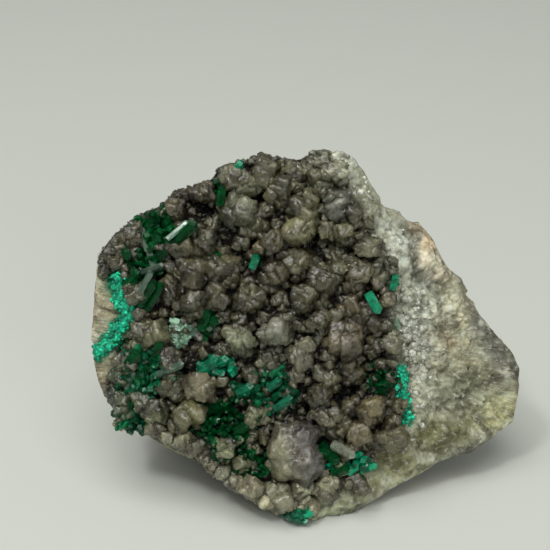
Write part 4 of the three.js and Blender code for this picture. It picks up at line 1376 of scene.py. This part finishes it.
# Each direction's reach is where it leaves the ball that it leaves last, with the reaches
# joined by a power
def growLargest():
    form = largestForm
    balls = np.array(form["balls"])
    base, normal = front.at(np.array([form["at"]], float))
    middle = base[0] - form["lift"] * forward
    directions, quads = ballGrid(form["grid"])
    centres, radii = balls[:, :3] @ np.array([rightward, upward, -forward]), balls[:, 3]
    along = directions @ centres.T
    far = along + np.sqrt(along ** 2 + radii ** 2 - (centres ** 2).sum(1))
    most = far.max(1, keepdims=True)
    reach = ((far / most) ** form["join"]).sum(1) ** (1 / form["join"]) * far.max(1)
    points = middle + directions * (form["shrink"] * reach)[:, None]
    lumps = form["lumps"] * layeredNoise(points, 2.4, 3, 6.2)
    relief = lumps + form["facets"] * facetNoise(points, 2, 0.8, 4.9)[0]
    points = points + directions * relief[:, None]
    picture = onPicture(points)
    drift = layeredNoise(points, 3.2, 3, 4.4)
    across = picture[:, 0] + 0.3 * (picture[:, 1] + 35) + 1.6 * drift
    lavender = smoothStep(across, *form["lavenderFrom"])[:, None]
    tint = mixed(form["cream"], form["lavender"], lavender)
    smoke = np.exp(-((picture - form["smokeAt"]) ** 2).sum(1) / 3) + 0.7 * smoothStep(drift, 0.2, 0.9)
    strength = form["strength"]
    tint = mixed(tint, form["smoke"], strength * np.minimum(smoke, 1)[:, None])
    tint = mixed(tint, form["top"], strength * smoothStep(picture[:, 1:], *form["topFrom"]))
    # Painted shade: darker on the side below the middle, towards the bed
    low = smoothStep((middle - points) @ normal[0], *form["footFrom"])[:, None]
    tint = mixed(tint, form["foot"], strength * low)
    newPiece("largest_calcite", points, quads, tint, "smoky", ["calcite_crust"], points)


# Points of a mesh chosen by chance, each with the given weight, none closer than its spacing
def scatterOn(mesh, weight, spacing, tries, random):
    chosen = random.choice(len(weight), tries, p=weight / weight.sum())
    points = mesh["points"][chosen]
    kept = []
    for k in range(tries):
        if not kept or ((points[kept] - points[k]) ** 2).sum(1).min() > spacing ** 2:
            kept.append(k)
    return chosen[kept]


fillForm = {
    "grid": 10, "count": 760, "spacing": 1.3, "tries": 7000, "radius": (0.8, 2.1), "bias": 1.3,
    "height": (0.7, 1.25), "power": (4, 14), "dents": 0.16, "lean": 1.0,
    "leastCover": 0.72, "lowest": 0.8, "room": (0.7, 1.1),
    "rise": 0.3,             # of the middle above the bed, in radii
    "edgeSunk": 0.4, "lipSunk": 0.3,
    "edgeTone": colour(166, 166, 146), "edgeShare": 0.25,
    # foot, lipLight and lightOver give painted shade: a crystal's colour is darker at its foot, less so in
    # the lip
    "foot": 0.35,            # share of its light that is left at a crystal's foot
    "lipLight": 0.4,         # so much more of it in the lip
    "lightOver": 1.6,        # mm above the foot
}


# Small crystals between the others, on the bed where it is neither hollow nor green, sunk at
# the druse's edge and in the lip, and painted darker towards the foot, which is painted shade
def growFill():
    form = fillForm
    random = np.random.default_rng(13)
    weight = bedMesh["area"] * (bedMesh["cover"] > form["leastCover"]) * (1 - bedMesh["hollow"]) ** 2
    green = greenShare(onPicture(bedMesh["points"]))
    weight = weight * (bedMesh["points"][:, 2] > form["lowest"]) * (1 - 0.9 * green)
    chosen = scatterOn(bedMesh, weight, form["spacing"], form["tries"], random)[:form["count"]]
    count = len(chosen)
    base, normals = bedMesh["points"][chosen], bedMesh["normals"][chosen]
    places = onPicture(base)
    edge = smoothStep(-bedMesh["inside"][chosen], -4, 0)
    lip = lipShare(places)
    radii = chanceSizes(form["radius"], form["bias"], count, random)
    frames = strewnFrames(normals, form["lean"], random)
    directions, quads = ballGrid(form["grid"])
    local = wornCrystals(directions, radii, form, random)
    rise = (form["rise"] - form["edgeSunk"] * edge - form["lipSunk"] * lip) * radii
    middle = drawnIn(base + normals * rise[:, None], radii * uniform(random, *form["room"], count))
    points = setInPlace(local, frames, middle)
    tone = calciteTint(places, random)
    edgeTone = form["edgeTone"] * calcitePaint["gain"]
    tone = mixed(tone, edgeTone, form["edgeShare"] * (edge * (1 - lip))[:, None])
    # Painted shade: the colour rises from the foot's share at the bed to full over lightOver mm
    height = ((points - base[:, None]) * normals[:, None]).sum(-1)
    foot = (form["foot"] + form["lipLight"] * lip)[:, None]
    tint = tone[:, None] * (foot + (1 - foot) * smoothStep(height, 0, form["lightOver"]))[..., None]
    growth = local + growthRange * random.random((count, 1, 3))
    newPiece("small_calcite", points, quads, tint.reshape(-1, 3), "smoky", ["calcite_crust"],
             growth)


# Little crystals strewn over the large ones
dustForm = {
    "grid": 3, "count": 2200, "radius": (0.14, 0.45), "bias": 2.5, "height": (0.7, 1.2),
    "power": (9, 18), "dents": 0.05, "lean": 1.2, "leastFacing": -0.2, "lowest": 1,
    "light": (0.8, 1.5),     # tint against that of the crystal below
}


# They lie at points of the crystals that are not far turned away, where soft noise is high
def growDust(grown):
    form = dustForm
    random = np.random.default_rng(15)
    points, normals, tint = (np.concatenate([mesh[k] for mesh in grown]) for k in range(3))
    facing = facingEye(points, normals) > form["leastFacing"]
    patchy = smoothStep(layeredNoise(points, 2.6, 2, 8.3), -0.3, 0.4)
    weight = facing * patchy * (points[:, 2] > form["lowest"])
    chosen = random.choice(len(points), form["count"], p=weight / weight.sum())
    radii = chanceSizes(form["radius"], form["bias"], form["count"], random)
    directions, quads = ballGrid(form["grid"])
    local = wornCrystals(directions, radii, form, random)
    frames = strewnFrames(normals[chosen], form["lean"], random)
    # Each takes the colour of the crystal below, with that crystal's painted shade, made lighter or darker
    # by chance
    light = uniform(random, *form["light"], form["count"])[:, None]
    tints = np.clip(tint[chosen] * light, 0, 0.95)
    newPiece("calcite_dust", setInPlace(local, frames, points[chosen]), quads, tints, "sugar",
             ["calcite_crust"], local, smooth=False)


grown = [growCluster(name, form) for name, form in clusterForms.items()]
growLargest()
growFill()
growDust(grown)


# Sugary calcite that sparkles along the rim
sugarForm = {
    "grid": 6, "count": 700, "radius": (0.3, 1.3), "bias": 2.2, "reach": 4, "height": (0.6, 1.2),
    "power": (8, 18), "dents": 0.1, "lean": 1.1,
    "sunk": 0.65,            # share of the radius that lies in the rock
    "stray": 0.3,            # mm off the rock's surface, by a bell curve
    "colour": colour(210, 212, 198), "spread": 0.2,
}


# Its crystals are strewn on the bare rock by the nearness to the rim, where soft noise is high
def growSugar():
    form = sugarForm
    random = np.random.default_rng(14)
    points, normals = rockMesh["points"], rockMesh["normals"]
    near = smoothStep(-courseDistance(onPicture(points), rimCourse), -form["reach"], -1.2)
    patchy = smoothStep(layeredNoise(points, 3.1, 3, 3.3), -0.35, 0.45)
    weight = near * (facingEye(points, normals) > 0) * rockMesh["bare"] * patchy
    chosen = random.choice(len(weight), form["count"], p=weight / weight.sum())
    base, normals = points[chosen], normals[chosen]
    radii = chanceSizes(form["radius"], form["bias"], form["count"], random)
    frames = strewnFrames(normals, form["lean"], random)
    directions, quads = ballGrid(form["grid"])
    local = wornCrystals(directions, radii, form, random)
    base = base + random.normal(0, form["stray"], base.shape)
    places = drawnIn(base - normals * (form["sunk"] * radii)[:, None], radii)
    shades = 1 + form["spread"] * random.standard_normal((form["count"], 1))
    tints = np.clip(form["colour"] * shades, 0, 0.95)
    newPiece("sugary_rim", setInPlace(local, frames, places), quads, tints, "sugar",
             ["calcite_crust"], local)


growSugar()

print("dioptase")

# Six-sided prisms closed by three flat faces, carried up an axis: a sunk middle, a foot
# ring, a shoulder ring that falls at every second corner, and the tip
prismFaces = [(0, 2 + k, 1 + k) for k in range(5)] + [(0, 1, 6)]
prismFaces += [(1 + k, 1 + (k + 1) % 6, 7 + (k + 1) % 6, 7 + k) for k in range(6)]
prismFaces += [(7 + k, 7 + (k + 1) % 6, 13) for k in range(6)]
prismFoot = 0.92            # the foot ring against the shoulder ring
prismDrops = (0.55, 1.1)    # of the shoulder's corners below the tip, in radii
greenSpread = 0.4


# Corners of each prism in its own frame
def prismForms(radii, lengths, widths, sunk):
    angles = np.radians(60 * np.arange(6))
    ring = np.stack([np.cos(angles), np.sin(angles)], axis=-1)
    points = np.zeros((len(radii), 14, 3))
    points[:, 0, 2] = -sunk
    points[:, 1:7, :2] = ring * prismFoot
    points[:, 1:7, 2] = -sunk[:, None]
    points[:, 7:13, :2] = ring
    points[:, 7:13, 2] = lengths[:, None] - radii[:, None] * np.tile(prismDrops, 3)
    points[:, 13, 2] = lengths
    points[:, 1:13, :2] *= radii[:, None, None]
    points[:, :, 1] *= widths[:, None]
    return points


# Shares of a finish's own colour: e to the power of chance numbers by a bell curve
def greenTint(count, random, bright=1):
    tint = np.ones((count, 3)) * np.exp(greenSpread * random.standard_normal((count, 1)))
    return np.clip(tint * bright, 0.02, 1.8)


# What the prisms of a patch have where the patch says nothing else
patchHabit = {
    "wave": 0.25,            # how far the patch's outline swells in three lobes
    "lean": 1.15, "bias": 1.6,
    "stout": (0.18, 0.34),   # radius against length
    "flat": (0.6, 1),        # thickness against breadth
    "sunk": 0.4,             # share of the length that is hidden
    "lift": 0.25,            # mm off the surface
    "finish": "deep", "bright": 1,
}


# A patch's prisms stand at chance places in an oval with three lobes, lean by chance off the
# surface's normals and are drawn in where their tips would pass the specimen's outline
def growPatch(name, form, seed):
    form = {**patchHabit, **form}
    random = np.random.default_rng(seed)
    count = form["count"]
    angle = random.uniform(0, fullTurn, count)
    out = np.sqrt(random.random(count)) * (1 + form["wave"] * np.sin(3 * angle + seed))
    spread = np.stack([np.cos(angle), np.sin(angle)], axis=-1) * out[:, None] * form["spread"]
    base, normals = front.at(np.array(form["at"]) + spread)
    axes = leaning(normals, form["lean"], random)
    lengths = chanceSizes(form["length"], form["bias"], count, random)
    radii = lengths * uniform(random, *form["stout"], count)
    local = prismForms(radii, lengths, uniform(random, *form["flat"], count), form["sunk"] * lengths)
    frames = framesAlong(axes, random.uniform(0, fullTurn, count))
    tips = base + axes * lengths[:, None]
    base = drawnIn(base + drawnIn(tips, 0.3 * radii) - tips, 0.8 * radii)
    points = setInPlace(local, frames, base + normals * form["lift"])
    tints = greenTint(count, random, form["bright"])
    newPiece(name + "_prisms", points, prismFaces, tints, form["finish"], [name], local,
             smooth=False)


for k, (name, form) in enumerate(patchForms.items()):
    growPatch(name, form, 200 + k)


# Larger prisms that stand out: the patch that they grow in, finish, share of its colour, the
# lamp or place that a side face throws back, and for each prism the foot and tip on the
# picture plane, half width, and how far it is lifted towards the eye
bladeForms = [
    ("dioptase_upper_left", "deep", 1, "open room", [
        ((-20, 6.8), (-15.6, 10.6), 1.3, 2.4), ((-20.8, 12.2), (-18.9, 13), 0.8, 1),
        ((-25, 9.6), (-23, 12.8), 1.4, 0.3), ((-24.6, 6), (-22.4, 8.6), 1.4, 0.2),
        ((-23.2, 3.6), (-21, 5.8), 1.3, 0.2), ((-27.6, 8.6), (-26.2, 10.8), 1.2, 0.3),
    ]),
    ("dioptase_upper_left", "mint", 1, "glint lamp", [((-20.8, 7.8), (-17.3, 10.8), 0.62, 3.1)]),
    ("dioptase_upper_left", "mint", 0.42, "open room", [
        ((-26.6, 8.4), (-25.2, 4.4), 0.9, 1.4), ((-25, 4.8), (-24, 0.6), 0.8, 1.2),
    ]),
    ("dioptase_left_blades", "deep", 1, "open room", [
        ((-27, -5.2), (-24, -0.8), 1.2, 1), ((-25.4, -6), (-22.6, -1.4), 1.1, 0.5),
        ((-29.4, -1.4), (-27, 0.8), 1, 0.5),
    ]),
    ("dioptase_left_blades", "mint", 0.38, "open room", [
        ((-27.8, -4.8), (-24.6, 1), 0.75, 1.8), ((-26.4, 0.6), (-22.2, 2), 0.7, 1.2),
    ]),
    ("dioptase_left_rim", "deep", 1, "open room", [((-30.4, 5.6), (-29, 2.9), 1.1, 0.5)]),
    ("dioptase_top_notch", "deep", 1, "open room", [((-10.8, 14.6), (-10.4, 18.2), 1, 1)]),
    ("dioptase_top_edge", "bright", 1, "open room", [((-8.2, 20.6), (-6.4, 22.4), 0.9, 1)]),
    ("dioptase_heart", "bright", 0.7, "open room", [((-4.2, 1.8), (-3.5, 4.2), 0.95, 0.8)]),
    ("dioptase_left_heart", "deep", 1, "open room", [((-12.2, 3.4), (-9.8, 4.2), 0.9, 0.8)]),
    ("dioptase_centre_left", "deep", 1, "open room", [
        ((-14.4, -10.4), (-13.4, -6.8), 1.1, 1), ((-13, -11), (-11.8, -8.2), 0.9, 1),
    ]),
    ("dioptase_lower_left", "deep", 1, "open room", [
        ((-23.8, -16.2), (-22.7, -12.8), 0.95, 1), ((-29.4, -18), (-26.6, -14.8), 1.4, 0.8),
        ((-27.6, -21.8), (-25.4, -17), 1.4, 0.8),
    ]),
    ("dioptase_lower_left", "mint", 0.5, "open room", [
        ((-23.4, -19.9), (-18.2, -17.7), 0.8, 1.6), ((-27, -20.6), (-25.6, -16.2), 0.9, 1.2),
        ((-29.4, -22), (-28, -18.8), 0.9, 1),
    ]),
    ("dioptase_left_foot", "deep", 1, "open room", [
        ((-26, -31), (-23, -29), 1.2, 0.6), ((-30.4, -27), (-28.2, -24.6), 1, 0.8),
    ]),
    ("dioptase_middle", "bright", 0.6, "open room", [
        ((-14.4, -18.8), (-11.2, -16.4), 1.3, 0.6), ((-12, -17.6), (-9.2, -16.8), 1.1, 0.6),
    ]),
    ("dioptase_centre", "bright", 0.45, "open room", [
        ((-0.8, -22.6), (1.3, -20.8), 1, 1), ((0.6, -26), (3.6, -24.4), 1, 0.6),
        ((-6.8, -23.6), (-4.2, -22.2), 1.2, 0.6),
    ]),
    ("dioptase_hollow", "deep", 1, "open room", [
        ((-11, -27.4), (-9.4, -24.8), 1, 0.8), ((-7.4, -31.4), (-5, -29.8), 1.1, 0.8),
    ]),
    ("dioptase_lower_right", "deep", 1, "open room", [
        ((10.4, -34.6), (12.8, -38), 1.2, 0.8), ((12.4, -39.6), (15, -38.4), 1.1, 0.8),
    ]),
    ("dioptase_leaf", "bright", 0.85, "open room", [((18.9, -4.2), (21, -7.8), 1.15, 2)]),
    ("dioptase_right_edge", "bright", 0.85, "open room", [((23.7, -2.4), (24.3, 0.2), 0.8, 0.8)]),
]
# The same for a pale blade of calcite
paleBlade = [((12, -34), (16, -36.6), 1.1, 2.2)]
paleBladeTint = colour(122, 130, 112)

bladeHabit = {
    "raised": 0.8,           # its foot above the surface, against the half width
    "flat": 0.8,             # thickness against breadth
    "sunk": 0.2,             # share of the length that is hidden
}


# The tip lies where its sight line meets the plane through the foot whose normal is half way
# between the ways to the eye and to the lamp, so that one side face throws that lamp back.
def growBlades(name, node, finish, tint, lamp, entries):
    form = bladeHabit
    feet, tips, half, lifts = (np.array(column, float) for column in zip(*entries))
    light = np.array(lampPlaces[lamp]) / metres
    base, normals = front.at(feet)
    foot = base + normals * (form["raised"] * half)[:, None] + unit(eye - base) * lifts[:, None]
    face = unit(unit(eye - foot) + unit(light - foot))
    ray = sightLines(tips)
    reach = ((foot - eye) * face).sum(1) / (ray * face).sum(1)
    arm = eye + ray * reach[:, None] - foot
    lengths = np.linalg.norm(arm, axis=1)
    stance = np.stack([np.cross(face, unit(arm)), face, unit(arm)], axis=1)
    local = prismForms(half, lengths, np.full(len(half), form["flat"]), form["sunk"] * lengths)
    newPiece(name, setInPlace(local, stance, foot), prismFaces, np.tile(tint, (len(half), 1)), finish,
             [node], local, smooth=False)


for k, (node, finish, share, lamp, entries) in enumerate(bladeForms):
    growBlades(f"{node}_blades_{k}", node, finish, (share,) * 3, lamp, entries)
growBlades("pale_blade", "calcite_crust", "smoky", paleBladeTint, "open room", paleBlade)


seamGrain = {
    "grid": 4, "lean": 1.2,
    "scatter": 0.42, "sway": 0.3,     # shares of the seam's width
    "proud": 0.7,            # mm towards the eye
}


# Grains at chance stretches of the course, scattered about it by a bell curve and swaying
# across; the stretch of the break stays bare
def growSeam(name, form, seed):
    grain = seamGrain
    random = np.random.default_rng(seed)
    course = np.array(form["course"], float)
    steps = np.linalg.norm(np.diff(course, axis=0), axis=1)
    along = random.uniform(0, steps.sum(), form["count"])
    start, end = form.get("break", (0, 0))
    along = along[(along < start) | (along > end)]
    knots = np.r_[0, np.cumsum(steps)]
    spots = np.stack([np.interp(along, knots, course[:, k]) for k in (0, 1)], axis=-1)
    sway = [[grain["sway"], 0]] * np.sin(along)[:, None]
    spots = spots + form["wide"] * (grain["scatter"] * random.normal(size=spots.shape) + sway)
    base, normals = front.at(spots)
    radii = uniform(random, *form["radius"], len(base))
    directions, quads = ballGrid(grain["grid"])
    local = wornCrystals(directions, radii, form, random)
    frames = strewnFrames(normals, grain["lean"], random)
    points = setInPlace(local, frames, drawnIn(base + grain["proud"] * unit(eye - base), radii))
    tints = greenTint(len(base), random)
    newPiece(name + "_grains", points, quads, tints, "grains", [name], local)


for k, (name, form) in enumerate(seamForms.items()):
    growSeam(name, form, 300 + k)

print("floor and light")
floorMesh = bpy.data.meshes.new("floor")
floorMesh.from_pydata([(-2, -2, 0), (2, -2, 0), (2, 2, 0), (-2, 2, 0)], [], [(0, 1, 2, 3)])
floor = bpy.data.objects.new("floor", floorMesh)
bpy.context.scene.collection.objects.link(floor)
floorFinish = bpy.data.materials.new("pale floor")
floorFinish.use_nodes = True
floorShader = floorFinish.node_tree.nodes["Principled BSDF"].inputs
floorShader["Base Color"].default_value = (*colour(200, 203, 196), 1)
floorShader["Roughness"].default_value = 0.6
floorMesh.materials.append(floorFinish)


lampTarget = (0, 0, 0.03)     # in metres


# A rectangular lamp that faces the target
def addLamp(name, size, power, shade):
    place = lampPlaces[name]
    data = bpy.data.lights.new(name, "AREA")
    data.shape = "RECTANGLE"
    data.size, data.size_y = size
    data.energy = power
    data.color = shade
    lamp = bpy.data.objects.new(name, data)
    lamp.location = place
    away = np.array(place) - lampTarget
    level = math.hypot(away[0], away[1])
    lamp.rotation_euler = (math.atan2(level, away[2]), 0, math.atan2(away[1], away[0]) + math.pi / 2)
    bpy.context.scene.collection.objects.link(lamp)


addLamp("overhead softbox", (0.9, 0.7), 6, (1, 0.99, 0.96))
addLamp("front softbox", (0.5, 0.5), 1.7, (0.97, 0.99, 1))
addLamp("glint lamp", (0.12, 0.12), 1.6, (1, 1, 1))

world = bpy.data.worlds.new("soft room")
bpy.context.scene.world = world
world.use_nodes = True
background = world.node_tree.nodes["Background"].inputs
background["Color"].default_value = (*colour(232, 236, 232), 1)
background["Strength"].default_value = 0.3
